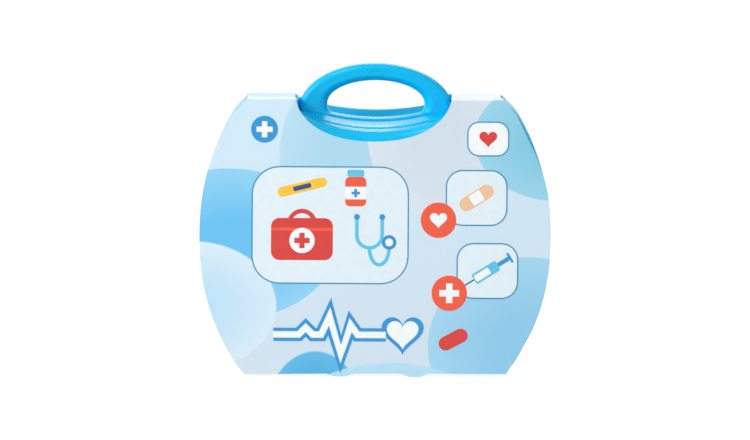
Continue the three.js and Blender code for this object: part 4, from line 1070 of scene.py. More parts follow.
class TOYCASE_OT_card_rear(Operator):
    """Builds the rear half of the printed card and the two flaps that reach over the top"""

    bl_idname = "toycase.card_rear"
    bl_label = "Rear card"

    def execute(self, context):
        c = settings().card
        finishes = ["rear_print", "back", "edge"]
        bm = card_panel(1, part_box("card_wrap_rear")[1].z, None)
        piece("card_rear_panel", bm, "card_rear", finishes, ["card_wrap_rear"])
        turns = [0.6 + 0.97 * i / 8 for i in range(9)]  # a crease that starts a gap above the rear panel
        for name, sign in (("left", -1), ("right", 1)):
            node = "card_flap_" + name
            low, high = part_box(node)
            profile = creased(1, high.y, high.z, turns, [(low.y, high.z), (low.y, low.z)])
            inner_end = sign * (window_half(high.z) + 0.7 * MM) - c.window_shift - 0.1 * MM
            outer_end = sign * (card_edge(sign, high.z) - (FLAP_TRIM if sign > 0 else 0))
            flap = cross_prism(profile, *sorted((inner_end, outer_end)))
            paint_card(flap, 1)
            piece("card_top_flap_" + name, flap, "flap_" + name, finishes, [node])
        return {"FINISHED"}


# Print on the front card: flat shapes of (x, z) places in millimetres


def circle(x, z, radius):
    """A disc."""
    return arc(x, z, radius, 0, 2 * math.pi, 56)[:-1]


def tilted(points, x, z, angle):
    """Points round the origin, turned by an angle in degrees and moved to a place."""
    turn = math.radians(angle)
    c, s = math.cos(turn), math.sin(turn)
    return [(x + a * c - b * s, z + a * s + b * c) for a, b in points]


def oblong(x, z, width, height, radius, angle=0.0):
    """A rectangle with rounded corners, turned by an angle in degrees."""
    points = []
    for i, (sx, sz) in enumerate([(1, 1), (-1, 1), (-1, -1), (1, -1)]):
        corner_x, corner_z = sx * (width / 2 - radius), sz * (height / 2 - radius)
        points += arc(corner_x, corner_z, radius, i * math.pi / 2, (i + 1) * math.pi / 2, 8)
    return tilted(points, x, z, angle)


def plus(x, z, size, arm, angle=0.0):
    """A cross with four equal arms."""
    h, a = size / 2, arm / 2
    points = [(a, h), (-a, h), (-a, a), (-h, a), (-h, -a), (-a, -a)]
    points += [(-p, -q) for p, q in points]
    return tilted(points, x, z, angle)


def heart(x, z, size):
    """A heart with its point down."""
    points = []
    for t in (2 * math.pi * i / 64 for i in range(64)):
        over = 13 * math.cos(t) - 5 * math.cos(2 * t) - 2 * math.cos(3 * t) - math.cos(4 * t)
        points.append((x + size / 34 * 16 * math.sin(t) ** 3, z + size / 34 * over))
    return points


def stroke(line, width):
    """The outline of a line of even width with mitred corners."""
    left, right = [], []
    for i, (x, z) in enumerate(line):
        before = Vector(line[max(0, i - 1)])
        after = Vector(line[min(len(line) - 1, i + 1)])
        here = Vector((x, z))
        into = (here - before).normalized() if i else (after - here).normalized()
        out = (after - here).normalized() if i < len(line) - 1 else into
        side = Vector((-into.y - out.y, into.x + out.x)).normalized()
        reach = width / 2 / max(0.35, side.dot(Vector((-into.y, into.x))))
        left.append(tuple(here + side * reach))
        right.append(tuple(here - side * reach))
    return left + right[::-1]


class Print:
    """A stack of printed shapes: each layer is a flat closed shape a little nearer to the eye."""

    def __init__(self, inks, face, out):
        self.inks = inks
        self.face = face
        self.out = out
        self.laid = 0
        self.bm = bmesh.new()

    def lay(self, points, key):
        self.laid += 1
        bottom = self.face - self.out * 0.1 * MM
        top = self.face + self.out * self.laid * settings().card.ink
        shape = prism(in_mm(points), bottom, top)
        for f in shape.faces:
            f.material_index = self.inks.index(key)
        pour(shape, self.bm)


def print_badges(p):
    """A disc with a cross and a white badge with a heart, near the top corners."""
    p.lay(circle(-79, 176, 9.6), "ink_blue")
    p.lay(plus(-79, 176, 11.5, 3.8), "ink_white")
    p.lay(oblong(80, 170, 30, 25, 8.5), "ink_teal")
    p.lay(oblong(80, 170, 28, 23, 7.5), "ink_white")
    p.lay(heart(80, 170.5, 13.5), "ink_red")


def print_panel(p, x, z, width, height, radius):
    """A rounded picture panel with a teal outline."""
    p.lay(oblong(x, z, width, height, radius), "ink_teal")
    p.lay(oblong(x, z, width - 2, height - 2, radius - 1), "ink_pale")


def print_bag(p, x, z):
    """A red doctor's bag with a white cross."""
    p.lay(stroke(arc(x, z + 11, 9, 0.1, math.pi - 0.1, 20), 3.2), "ink_red")
    p.lay(oblong(x, z, 44, 30, 6), "ink_red")
    p.lay(oblong(x, z + 7, 44, 2.2, 1), "ink_orange")
    p.lay(circle(x, z - 1, 9), "ink_white")
    p.lay(plus(x, z - 1, 11, 3.8), "ink_red")


def print_stethoscope(p, x, z):
    """A stethoscope that lies in a loop."""
    yoke = [(x - 9, z + 22)] + arc(x, z + 9, 9, math.pi, 2 * math.pi, 20) + [(x + 9, z + 22)]
    p.lay(stroke(yoke, 2.6), "ink_cyan")
    turns = [math.pi * i / 20 for i in range(21)]
    p.lay(stroke([(x + 7 * (1 - math.cos(t)), z - 12 * math.sin(t)) for t in turns], 2.6), "ink_cyan")
    p.lay(circle(x + 14, z + 4, 5.2), "ink_blue")
    p.lay(circle(x + 14, z + 4, 2.8), "ink_white")
    for side in (-1, 1):
        p.lay(circle(x + side * 9, z + 22, 2.1), "ink_blue")


def print_thermometer(p, x, z, angle):
    """A play thermometer with a dark window."""
    p.lay(oblong(x, z, 36, 7, 3.5, angle), "ink_yellow")
    p.lay(oblong(x, z, 13, 3.4, 1, angle), "ink_navy")


def print_bottle(p, x, z):
    """A small bottle with a label."""
    p.lay(oblong(x, z, 15, 21, 3.5), "ink_orange")
    p.lay(oblong(x, z + 13, 12, 5, 1.2), "ink_cyan")
    p.lay(oblong(x, z - 1, 15, 9, 0.8), "ink_white")
    p.lay(plus(x, z - 1, 6, 2), "ink_blue")


def print_plaster(p, x, z, angle):
    """An adhesive plaster."""
    p.lay(oblong(x, z, 27, 10, 4.9, angle), "ink_tan")
    p.lay(oblong(x, z, 9, 8, 1, angle), "ink_white")


def print_syringe(p, x, z, angle):
    """A play syringe."""
    turn = math.radians(angle)
    for along, width, height, radius, key in (
        (-15, 12, 1.0, 0.4, "ink_navy"),
        (14, 12, 3, 0.8, "ink_blue"),
        (0, 20, 8, 1.6, "ink_cyan"),
        (-3, 12, 5, 1, "ink_white"),
        (20, 1.8, 8, 0.8, "ink_blue"),
    ):
        over, up = along * math.cos(turn), along * math.sin(turn)
        p.lay(oblong(x + over, z + up, width, height, radius, angle), key)


def print_title(p):
    """A white heartbeat line with a blue outline that ends in a heart."""
    beat = [(-72, 30), (-54, 30), (-49, 35), (-44, 30), (-38, 30)]
    beat += [(-32, 43), (-24, 16), (-17, 37), (-12, 30), (8, 30)]
    p.lay(stroke(beat, 9.5), "ink_blue")
    p.lay(heart(20, 31.5, 32), "ink_blue")
    p.lay(stroke(beat, 4.6), "ink_white")
    p.lay(heart(20, 31.5, 24), "ink_white")


class TOYCASE_OT_print(Operator):
    """Lays the printed motifs on the front card"""

    bl_idname = "toycase.print"
    bl_label = "Print"

    def execute(self, context):
        inks = list(INK_TONES)
        p = Print(inks, -card_face(), -1)
        print_badges(p)
        print_panel(p, -32, 108, 112, 84, 20)
        print_bag(p, -52, 98)
        print_stethoscope(p, -4, 92)
        print_thermometer(p, -52, 135, 14)
        print_bottle(p, -14, 132)
        print_panel(p, 72, 128, 44, 40, 12)
        print_plaster(p, 72, 128, 32)
        print_panel(p, 80, 76, 44, 40, 12)
        print_syringe(p, 79, 75, 32)
        p.lay(circle(45, 112, 12.6), "ink_orange")
        p.lay(heart(45, 112.5, 13), "ink_white")
        p.lay(circle(53, 60, 12.6), "ink_orange")
        p.lay(plus(53, 60, 14, 4.6), "ink_white")
        p.lay(oblong(56, 27, 22, 10, 5, 28), "ink_red")
        print_title(p)
        piece("card_front_print", p.bm, "card_front", inks)
        return {"FINISHED"}


# The pieces inside. Those that need no other form are the frame's own with finer edges.


def eased(node, radius_mm, segments):
    """A copy of a node with merged corners, whole faces and eased edges."""
    bm = bmesh.new()
    bm.from_mesh(NODES[node].data)
    bmesh.ops.remove_doubles(bm, verts=bm.verts, dist=0.002 * MM)
    flat = math.radians(0.5)
    bmesh.ops.dissolve_limit(bm, angle_limit=flat, verts=bm.verts, edges=bm.edges)
    soften(bm, sharp_edges(bm, 28), radius_mm * MM, segments, True)
    return bm


def dressed(node, body, key, radius_mm, segments=2):
    """The node's own shape with eased edges and its finish."""
    return piece(node + "_eased", eased(node, radius_mm, segments), body, [key], [node])


def middle_of(node):
    """The middle of a node and half its extent."""
    low, high = (Vector(corner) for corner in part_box(node))
    return (low + high) / 2, (high - low) / 2


def rounded(x0, x1, z0, z1, radius, steps=8):
    """A rectangle's outline with rounded corners."""
    line = []
    for x, z, start in (
        (x1 - radius, z0 + radius, -90),
        (x1 - radius, z1 - radius, 0),
        (x0 + radius, z1 - radius, 90),
        (x0 + radius, z0 + radius, 180),
    ):
        line += arc(x, z, radius, math.radians(start), math.radians(start + 90), steps)
    return line


def in_mm(profile):
    """Pairs of millimetres in metres."""
    return [(a * MM, b * MM) for a, b in profile]


def band(inner, outer, start, end):
    """The profile of a ring with a square section, in millimetres."""
    return in_mm([(inner, start), (outer, start), (outer, end), (inner, end), (inner, start)])


def plate(node, radius_mm, ease_mm, segments=2):
    """A node's outline with rounded corners, and eased edges at its front."""
    low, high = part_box(node)
    bm = prism(rounded(low.x, high.x, low.z, high.z, radius_mm * MM), low.y, high.y)
    soften(bm, edges_at(bm, low.y), ease_mm * MM, segments)
    return bm


def round_piece(node, profile, axis, body, key, steps=56):
    """A turned piece. Its profile is in millimetres, from the middle of its node's near end."""
    middle, half = middle_of(node)
    end = middle - AXES[axis] * half.dot(AXES[axis])
    bm = turned(in_mm(profile), axis, end, 0, steps)
    return piece(node + "_round", bm, body, [key], [node])


def arc_strip(axis, middle, start, end, inner, outer, angle, steps=10):
    """A thin strip round the front of a cylinder, between two places along its axis."""
    sections = []
    for i in range(steps + 1):
        turn = angle * (2 * i / steps - 1)
        ring = []
        for along, r in ((start, inner), (end, inner), (end, outer), (start, outer)):
            over, forward = r * math.sin(turn), middle.y - r * math.cos(turn)
            lying, upright = (along, forward, middle.z + over), (middle.x + over, forward, along)
            ring.append(lying if axis == "x" else upright)
        sections.append(ring)
    return loft(sections)


def fluted(bm, middle, radius, low, high, count):
    """Adds grip ribs round an upright cap."""
    ribs = []
    for i in range(count):
        turn = 2 * math.pi * i / count
        x, y = middle.x + radius * math.cos(turn), middle.y + radius * math.sin(turn)
        ribs.append(rod("z", 0.4 * MM, low, high, x, y, 8))
    return combine(bm, gathered(ribs), "UNION")


class TOYCASE_OT_latches(Operator):
    """Builds the two latches"""

    bl_idname = "toycase.latches"
    bl_label = "Latches"

    def execute(self, context):
        for name in ("latch_left", "latch_right"):
            dressed(name, name, "latch", 0.6, 3)
        return {"FINISHED"}


class TOYCASE_OT_pins(Operator):
    """Builds the steel pins of the latches and of the lid"""

    bl_idname = "toycase.pins"
    bl_label = "Pins"

    def execute(self, context):
        for node in ("latch_pin_left", "latch_pin_right", "hinge_pin_left", "hinge_pin_right"):
            half = middle_of(node)[1] / MM
            r, run = half.z, 2 * half.x
            profile = [(0, 0), (r * 0.7, 0), (r, r * 0.3), (r, run - r * 0.3), (r * 0.7, run), (0, run)]
            round_piece(node, profile, "x", "base", "steel", 32)
        return {"FINISHED"}


class TOYCASE_OT_drawers(Operator):
    """Builds the two drawers"""

    bl_idname = "toycase.drawers"
    bl_label = "Drawers"

    def execute(self, context):
        for name in ("drawer_left", "drawer_right"):
            dressed(name, name, "red", 0.6, 3)
        return {"FINISHED"}


class TOYCASE_OT_forceps(Operator):
    """Builds the forceps with the ribs on their legs"""

    bl_idname = "toycase.forceps"
    bl_label = "Forceps"

    def execute(self, context):
        middle, half = middle_of("forceps")
        front = middle.y - half.y
        bm = eased("forceps", 0.6, 3)
        ribs = []
        for side in (-1, 1):
            for i in range(-7, 2):
                z = i * 2.2 * MM
                x = middle.x + side * (8.75 * MM + 0.115 * z)  # along the leg, which slopes
                x0, x1, low = x - 1.1 * MM, x + 1.1 * MM, middle.z + z - 0.5 * MM
                ribs.append(block(x0, x1, front - 0.35 * MM, front + MM, low, low + MM, 0.2 * MM, 1))
        bm = combine(bm, gathered(ribs), "UNION")
        piece("forceps_ribbed", bm, "drawer_left", ["blue"], ["forceps"])
        return {"FINISHED"}


def scissors_half(node, body, side):
    """One half of the scissors: a blade, and a round loop on its shank."""
    low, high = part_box(node)
    pivot = middle_of("scissors_rivet")[0]
    loop = Vector((pivot.x + side * 11.3 * MM, 0, pivot.z - 36.04 * MM))
    line = [(-4.5, 0), (-3.2, 14), (-0.3, 36.9), (1.4, 36.9), (3.4, 20), (4.5, 0), (4, -8)]
    line += [(13.8, -35), (8.8, -35), (-2, -8)]
    outline = [(pivot.x + side * x * MM, pivot.z + z * MM) for x, z in line]
    blade = prism(outline, low.y, high.y)
    soften(blade, sharp_edges(blade, 60), 0.5 * MM, 2)
    blade = combine(blade, rod("y", 8.2 * MM, low.y - MM, high.y + MM, loop.x, loop.z))
    ring = turned(band(7, 11, low.y / MM, high.y / MM), "y", loop, 0.9 * MM, 64)
    bm = combine(blade, ring, "UNION")
    bm = combine(bm, rod("y", 2.1 * MM, low.y - MM, high.y + MM, pivot.x, pivot.z))
    piece(node + "_round", bm, body, ["blue"], [node])


class TOYCASE_OT_scissors(Operator):
    """Builds the two halves of the scissors and their rivet"""

    bl_idname = "toycase.scissors"
    bl_label = "Scissors"

    def execute(self, context):
        scissors_half("scissors_half_fixed", "drawer_right", 1)
        scissors_half("scissors_half_moving", "scissors_blade", -1)
        run = 2 * middle_of("scissors_rivet")[1].y / MM
        head = [(0, 0), (2.2, 0.1), (3.4, 0.5), (3.9, 1.2), (1.8, 1.2)]
        profile = head + [(r, run - along) for r, along in reversed(head)]
        round_piece("scissors_rivet", profile, "y", "drawer_right", "steel")
        return {"FINISHED"}


# Left, right, low and high side of each recess, in millimetres
RECESSES = [
    (-97.94, 9.74, 105.1, 172.7),
    (-95.5, 7.3, 73.58, 95.58),
    (-88.9, 0.7, 41.45, 64.05),
    (11.24, 46.84, 73.1, 172.7),
    (62.34, 83.94, 45.22, 92.12),
    (48.34, 97.94, 117.1, 160.7),
]


class TOYCASE_OT_tray(Operator):
    """Builds the formed tray with its recesses"""

    bl_idname = "toycase.tray"
    bl_label = "Tray"

    def execute(self, context):
        s = settings().case
        edge = s.wall + s.fit
        low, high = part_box("tray")
        sheet, wall = 1.6 * MM, 1.2 * MM
        bm = combine(prism(case_outline(edge), low.y, low.y + sheet), dish(1, edge))
        bm = combine(bm, block(-s.width, s.width, -MM, s.depth, high.z, high.z + 40 * MM))
        tools = []
        for x0, x1, z0, z1 in (tuple(v * MM for v in row) for row in RECESSES):
            outline = rounded(x0 - wall, x1 + wall, z0 - wall, z1 + wall, 5.2 * MM)
            outer = prism(outline, low.y + 0.1 * MM, high.y)
            soften(outer, edges_at(outer, high.y), 2.4 * MM, 4)
            bm = combine(bm, outer, "UNION")
            floor = high.y - wall
            tool = prism(rounded(x0, x1, z0, z1, 4 * MM), low.y - MM, floor)
            soften(tool, edges_at(tool, floor), 1.2 * MM, 4)
            tools.append(tool)
        bm = combine(bm, gathered(tools))
        soften(bm, [e for e in edges_at(bm, low.y) if e.calc_face_angle(0) > 1], 0.5 * MM, 3)
        piece("tray_formed", bm, "base", ["white"], ["tray"])
        return {"FINISHED"}


def tube(route, y, radius, sides=24, steps=9):
    """A round tube at one depth, through (x, z) places on a smooth line."""
    line = [Vector((x, y, z)) for x, z in route]
    line = [2 * line[0] - line[1]] + line + [2 * line[-1] - line[-2]]
    middle, way = [], []
    for a, b, c, d in zip(line, line[1:], line[2:], line[3:]):
        p, q, r = (math.sqrt((end - start).length) for start, end in ((a, b), (b, c), (c, d)))
        into = ((b - a) / p - (c - a) / (p + q) + (c - b) / q) * q
        out = ((c - b) / q - (d - b) / (q + r) + (d - c) / r) * q
        square, cube = 3 * (c - b) - 2 * into - out, 2 * (b - c) + into + out
        for i in range(steps + (c == line[-2])):
            t = i / steps
            middle.append(b + into * t + square * t**2 + cube * t**3)
            way.append(into + 2 * square * t + 3 * cube * t**2)
    sections = []
    turns = [2 * math.pi * i / sides for i in range(sides)]
    for centre, along in zip(middle, way):
        across = along.normalized().cross(AXES["y"])
        spokes = [math.cos(a) * across + math.sin(a) * AXES["y"] for a in turns]
        sections.append([centre + radius * spoke for spoke in spokes])
    return loft(sections)


class TOYCASE_OT_stethoscope(Operator):
    """Builds the stethoscope: headset, ear tips, tube, chest piece and diaphragm"""

    bl_idname = "toycase.stethoscope"
    bl_label = "Stethoscope"

    def execute(self, context):
        high_tip = middle_of("stethoscope_ear_tip_high")[0]
        low_tip, tip_half = middle_of("stethoscope_ear_tip_low")
        y = high_tip.y
        yoke_z = (high_tip.z + low_tip.z) / 2
        half_height = 32 * MM
        x0, z0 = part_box("stethoscope_headset")[1].x - 5 * MM, yoke_z - 0.47 * half_height
        half_width = x0 - (low_tip.x - tip_half.x)
        radius = 2.4 * MM
        start = low_tip.x + tip_half.x + 0.3 * MM
        shares = ((0, 0.2), (0.12, 0.19), (0.38, 0.05), (0.67, 0.18), (0.98, 0.42))
        low = [(start + a * (x0 - start), z0 + b * half_height) for a, b in shares]
        high = [(x, 2 * yoke_z - z) for x, z in low]
        half_ring = [(0, -5), (3.4, -5), (4.2, -4.2), (4.2, -1.4), (3.7, -0.9)]
        ring = half_ring + [(r, -along) for r, along in reversed(half_ring)]
        headset = combine(tube(low, y, radius), tube(high, y, radius), "UNION")
        headset = combine(headset, turned(in_mm(ring), "x", Vector((x0, y, yoke_z))), "UNION")
        piece("stethoscope_headset_round", headset, "base", ["cyan"], ["stethoscope_headset"])

        tip = [(0, 0), (1.6, 0.15), (3, 1), (3.8, 2.6), (4, 4.4), (3.6, 5.8), (2.8, 6.6), (2.8, 8), (0, 8)]
        for name in ("stethoscope_ear_tip_low", "stethoscope_ear_tip_high"):
            round_piece(name, tip, "x", "base", "white")

        chest, chest_half = middle_of("stethoscope_diaphragm")
        stem_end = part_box("stethoscope_chest_piece")[1].x + 0.3 * MM
        reach = x0 + half_width - stem_end
        rise, back_down = ((0.5, 0.52), (0.84, 0.36), (0.9, -0.1)), ((0.7, -0.52), (0.29, -0.58), (0, -0.56))
        route = [(x0 + 5.3 * MM, yoke_z)]
        route += [(x0 + a * half_width, z0 + b * half_height) for a, b in rise]
        route += [(stem_end + a * reach, z0 + b * half_height) for a, b in back_down]
        hose = tube(route, y, radius)
        piece("stethoscope_tube_round", hose, "base", ["vinyl"], ["stethoscope_tube"])

        back = chest.y - chest_half.y - 0.3 * MM
        dome = [(0, -7), (5, -6.9), (6.6, -6.4), (8, -5.2), (9.6, -4.4), (11.2, -3.9)]
        dome += [(12, -3), (12, -0.4), (11.6, 0), (0, 0)]
        body = turned(in_mm(dome), "y", Vector((chest.x, back, chest.z)))
        stem = rod("x", radius, chest.x + 9.8 * MM, stem_end - 0.3 * MM, y, route[-1][1])
        body = combine(body, stem, "UNION")
        piece("stethoscope_chest_round", body, "base", ["cyan"], ["stethoscope_chest_piece"])
        disc = [(0, 0), (9.2, 0), (9.2, 1), (8.6, 1.6), (0, 1.4)]
        round_piece("stethoscope_diaphragm", disc, "y", "base", "white")
        return {"FINISHED"}


class TOYCASE_OT_monitor(Operator):
    """Builds the toy monitor with its display and buttons"""

    bl_idname = "toycase.monitor"
    bl_label = "Monitor"

    def execute(self, context):
        box = plate("monitor_box", 6, 2, 5)
        soften(box, edges_at(box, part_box("monitor_box")[1].y), MM, 3)
        piece("monitor_box_round", box, "base", ["white"], ["monitor_box"])
        display = plate("monitor_display", 3, 0.25)
        piece("monitor_display_plate", display, "base", ["navy"], ["monitor_display"])
        x, z = (v / MM for v in middle_of("monitor_display")[0].xz)
        p = Print(["ink_red", "ink_cyan", "ink_white"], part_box("monitor_display")[0].y, -1)
        p.lay(heart(x - 10.5, z + 0.2, 8), "ink_red")
        pulse = ((-4, 0), (0, 0), (2, 4.4), (4.4, -4.4), (6.4, 2), (7.6, 0), (13, 0))
        p.lay(stroke([(x + a, z + b) for a, b in pulse], 0.9), "ink_cyan")
        p.lay(oblong(x + 4.5, z - 6.4, 15, 1, 0.45), "ink_white")
        piece("monitor_display_marks", p.bm, "base", p.inks)
        button = [(0, 0), (1.8, 0.05), (2.8, 0.35), (3.3, 0.9), (3.3, 1.6), (0, 1.6)]
        for side in ("left", "middle", "right"):
            round_piece("monitor_button_" + side, button, "y", "base", "red", 40)
        return {"FINISHED"}


class TOYCASE_OT_hammer(Operator):
    """Builds the reflex hammer: its head and its grooved handle"""

    bl_idname = "toycase.hammer"
    bl_label = "Hammer"

    def execute(self, context):
        middle, half = middle_of("hammer_head")
        end = [(0, 0), (6.6, 0.1), (7.8, 0.6), (8.3, 1.6), (8.3, 3.2), (7.6, 4.2), (6.9, 4.8), (6.6, 10)]
        run = 2 * half.x / MM
        profile = in_mm(end + [(r, run - along) for r, along in reversed(end)])
        head = turned(profile, "x", middle - Vector((half.x, 0, 0)))
        head = combine(head, rod("z", 2.5 * MM, middle.z - 12 * MM, middle.z, middle.x, middle.y))
        piece("hammer_head_round", head, "base", ["red"], ["hammer_head"])
        low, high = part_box("hammer_handle")
        neck = (high.z - low.z) / MM - 7
        grip = [(0, 0), (3.6, 0), (4.6, 0.6), (4.9, 1.8)]
        for i in range(9):
            at = 5 + i * 3.6
            grip += [(4.9, at), (4.4, at + 0.5), (4.4, at + 1.1), (4.9, at + 1.6)]
        grip += [(4.8, 39), (4.2, 43), (3.2, 46), (3, 60), (3.1, neck)]
        grip += [(2.2, neck), (2.2, neck + 6.8), (0, neck + 6.8)]
        round_piece("hammer_handle", grip, "z", "base", "white", 40)
        return {"FINISHED"}


class TOYCASE_OT_syringe(Operator):
    """Builds the syringe: its clear barrel with a scale, and its plunger"""

    bl_idname = "toycase.syringe"
    bl_label = "Syringe"

    def execute(self, context):
        barrel = [(0, 0), (2, 0), (2.4, 0.6), (2.4, 9), (8, 9), (8.6, 9.6), (8.6, 58.8)]
        barrel += [(9.1, 58.8), (9.1, 61), (7.2, 61), (7.2, 11), (6.6, 10.4), (0, 10.4)]
        round_piece("syringe_barrel", barrel, "x", "base", "clear", 64)
        low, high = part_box("syringe_barrel")
        middle = (low + high) / 2
        marks = []
        for i in range(19):
            x = low.x + (15 + 2.2 * i) * MM
            reach = math.radians(16 if i % 3 else 30)
            marks.append(arc_strip("x", middle, x, x + 0.35 * MM, 8.58 * MM, 8.64 * MM, reach))
        piece("syringe_scale", gathered(marks), "base", ["ink_navy"])
        run = 2 * middle_of("syringe_plunger")[1].x / MM
        stem = [(0, 0), (5.6, 0), (6.8, 1), (6.8, 1.8), (6.3, 2.2), (6.3, 3.4), (6.8, 3.8)]
        stem += [(6.8, 5.4), (6.2, 6), (2.9, 6.2), (2.9, run - 2.6), (6.4, run - 2.2)]
        stem += [(6.8, run - 1.6), (6.8, run - 0.5), (6.2, run), (0, run)]
        round_piece("syringe_plunger", stem, "x", "plunger", "blue", 48)
        return {"FINISHED"}


class TOYCASE_OT_thermometer(Operator):
    """Builds the toy thermometer with its window"""

    bl_idname = "toycase.thermometer"
    bl_label = "Thermometer"

    def execute(self, context):
        low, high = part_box("thermometer_body")
        z, tip, end = (low.z + high.z) / 2, 4 * MM, 9.4 * MM
        x0, x1 = low.x + tip, high.x - end
        lean = math.asin((end - tip) / (x1 - x0))
        quarter = math.pi / 2 + lean
        outline = arc(x1, z, end, -quarter, quarter, 40) + arc(x0, z, tip, quarter, 2 * math.pi - quarter, 16)
        bm = prism(outline, low.y, high.y)
        soften(bm, edges_at(bm, low.y), 2.4 * MM, 6)
        soften(bm, edges_at(bm, high.y), 1.4 * MM, 4)
        piece("thermometer_body_round", bm, "base", ["yellow"], ["thermometer_body"])
        window = plate("thermometer_window", 2, 0.2)
        piece("thermometer_window_plate", window, "base", ["navy"], ["thermometer_window"])
        x, z = (v / MM for v in middle_of("thermometer_window")[0].xz)
        p = Print(["ink_red", "ink_white"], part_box("thermometer_window")[0].y, -1)
        p.lay(oblong(x - 2.6, z + 0.6, 11, 1.4, 0.6), "ink_red")
        for i in range(8):
            p.lay(oblong(x - 7.7 + i * 2.2, z - 2, 0.4, 1.5 if i % 2 else 2.2, 0.1), "ink_white")
        piece("thermometer_window_marks", p.bm, "base", p.inks)
        return {"FINISHED"}


class TOYCASE_OT_bottle(Operator):
    """Builds the lying medicine bottle with its label and its ribbed cap"""

    bl_idname = "toycase.bottle"
    bl_label = "Bottle"

    def execute(self, context):
        profile = [(0, 0.6), (5, 0.6), (5.6, 0), (7, 0), (8.4, 0.6), (9, 2)]
        profile += [(9, 26.6), (8.4, 28), (7, 29), (5.5, 29), (5.5, 34), (0, 34)]
        round_piece("bottle", profile, "z", "base", "red")
        middle = middle_of("bottle")[0]
        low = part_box("bottle")[0].z
        label = turned(band(8.9, 9.08, 5, 23), "z", Vector((middle.x, middle.y, low)), 0, 64)
        piece("bottle_label", label, "base", ["ink_white"])
        z = low + 14 * MM
        across = arc_strip("z", middle, z - 1.4 * MM, z + 1.4 * MM, 9.05 * MM, 9.12 * MM, math.radians(26))
        upright = arc_strip("z", middle, z - 4.4 * MM, z + 4.4 * MM, 9.05 * MM, 9.13 * MM, math.radians(9))
        piece("bottle_cross", gathered([across, upright]), "base", ["ink_red"])
        low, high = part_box("bottle_cap")
        cap = [(5.8, 0), (6.6, 0), (7, 0.4), (7, 8.2), (6.4, 9), (0, 9), (0, 5.2), (5.8, 5.2), (5.8, 0)]
        bm = turned(in_mm(cap), "z", Vector((middle.x, middle.y, low.z)))
        bm = fluted(bm, middle, 6.95 * MM, low.z + MM, high.z - 1.2 * MM, 24)
        piece("bottle_cap_ribbed", bm, "base", ["white"], ["bottle_cap"])
        return {"FINISHED"}


class TOYCASE_OT_board(Operator):
    """Builds the printed board in the lid and its raised cross"""

    bl_idname = "toycase.board"
    bl_label = "Lid board"

    def execute(self, context):
        dressed("lid_board", "lid", "board_print", 0.2)
        p = Print(["ink_white", "ink_cyan", "ink_red", "ink_pale"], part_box("lid_board")[1].y, 1)
        p.lay(circle(0, 160.1, 12.4), "ink_white")
        p.lay(circle(0, 160.1, 11), "ink_cyan")
        for x, z, size in ((-78, 118, 9), (76, 70, 8), (-70, 52, 7), (6, 112, 8), (-6, 52, 6)):
            p.lay(plus(x, z, size, size / 3), "ink_pale")
        for x, z, size in ((-50, 70, 9), (80, 96, 8), (34, 50, 8)):
            p.lay(heart(x, z, size), "ink_red")
        p.lay(oblong(4, 128, 26, 9, 4.4, 24), "ink_pale")
        p.lay(oblong(-76, 88, 22, 8, 3.9, -30), "ink_pale")
        piece("lid_board_print", p.bm, "lid", p.inks)
        low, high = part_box("board_cross")
        x, z = (low.x + high.x) / 2, (low.z + high.z) / 2
        bm = prism(in_mm(plus(x / MM, z / MM, (high.x - low.x) / MM, 5)), low.y, high.y)
        soften(bm, edges_at(bm, high.y), 0.4 * MM, 3)
        piece("board_cross_round", bm, "lid", ["white"], ["board_cross"])
        return {"FINISHED"}


class TOYCASE_OT_rail(Operator):
    """Builds the hook rail across the lid"""

    bl_idname = "toycase.rail"
    bl_label = "Hook rail"

    def execute(self, context):
        low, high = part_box("hook_rail")
        half, back = 4.5 * MM, low.y + 2.4 * MM
        z = low.z + half
        bm = prism(rounded(low.x, high.x, z - half, z + half, 4.3 * MM), low.y, back)
        soften(bm, edges_at(bm, back), 0.8 * MM, 3)
        hook = in_mm([(0, 0), (1.6, 0), (1.6, 5.6), (1.2, 6.6), (0, 7)])
        for x in (-52.28 * MM, -27.38 * MM, 24.92 * MM):
            peg = rod("y", 1.6 * MM, low.y + MM, high.y, x, z, 24)
            bm = joined(bm, [peg, turned(hook, "z", Vector((x, high.y - 1.6 * MM, z)), 0, 24)])
        piece("hook_rail_round", bm, "lid", ["red"], ["hook_rail"])
        return {"FINISHED"}


class TOYCASE_OT_shelf(Operator):
    """Builds the shelf in the lid"""

    bl_idname = "toycase.shelf"
    bl_label = "Lid shelf"

    def execute(self, context):
        low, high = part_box("lid_shelf")
        wall = 2 * MM
        bm = block(low.x, high.x, low.y, high.y, low.z, high.z, MM)
        sides = (low.x + wall, high.x - wall, low.y + wall, high.y - wall)
        room = block(*sides, low.z + wall, high.z + 9 * MM, 0.8 * MM)
        piece("lid_shelf_round", combine(bm, room), "lid", ["red"], ["lid_shelf"])
        return {"FINISHED"}


class TOYCASE_OT_medicine_box(Operator):
    """Builds the small printed carton on the shelf"""

    bl_idname = "toycase.medicine_box"
    bl_label = "Medicine box"

    def execute(self, context):
        dressed("medicine_box", "lid", "box_white", 0.3)
        low, high = (Vector(v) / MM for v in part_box("medicine_box"))
        x, top = (low.x + high.x) / 2, high.z - 1
        p = Print(["box_blue", "ink_red", "ink_orange"], high.y * MM, 1)
        p.lay(rounded(low.x + 0.3, high.x - 0.3, top - 9, top - 0.3, 0.4, 2), "box_blue")
        for dx, dz, turn, key in (
            (-5, -16, 35, "ink_red"),
            (5, -20, -25, "ink_orange"),
            (-4, -27, -40, "ink_orange"),
            (6, -30, 20, "ink_red"),
        ):
            p.lay(oblong(x + dx, top + dz, 7, 3, 1.45, turn), key)
        piece("medicine_box_print", p.bm, "lid", p.inks)
        return {"FINISHED"}


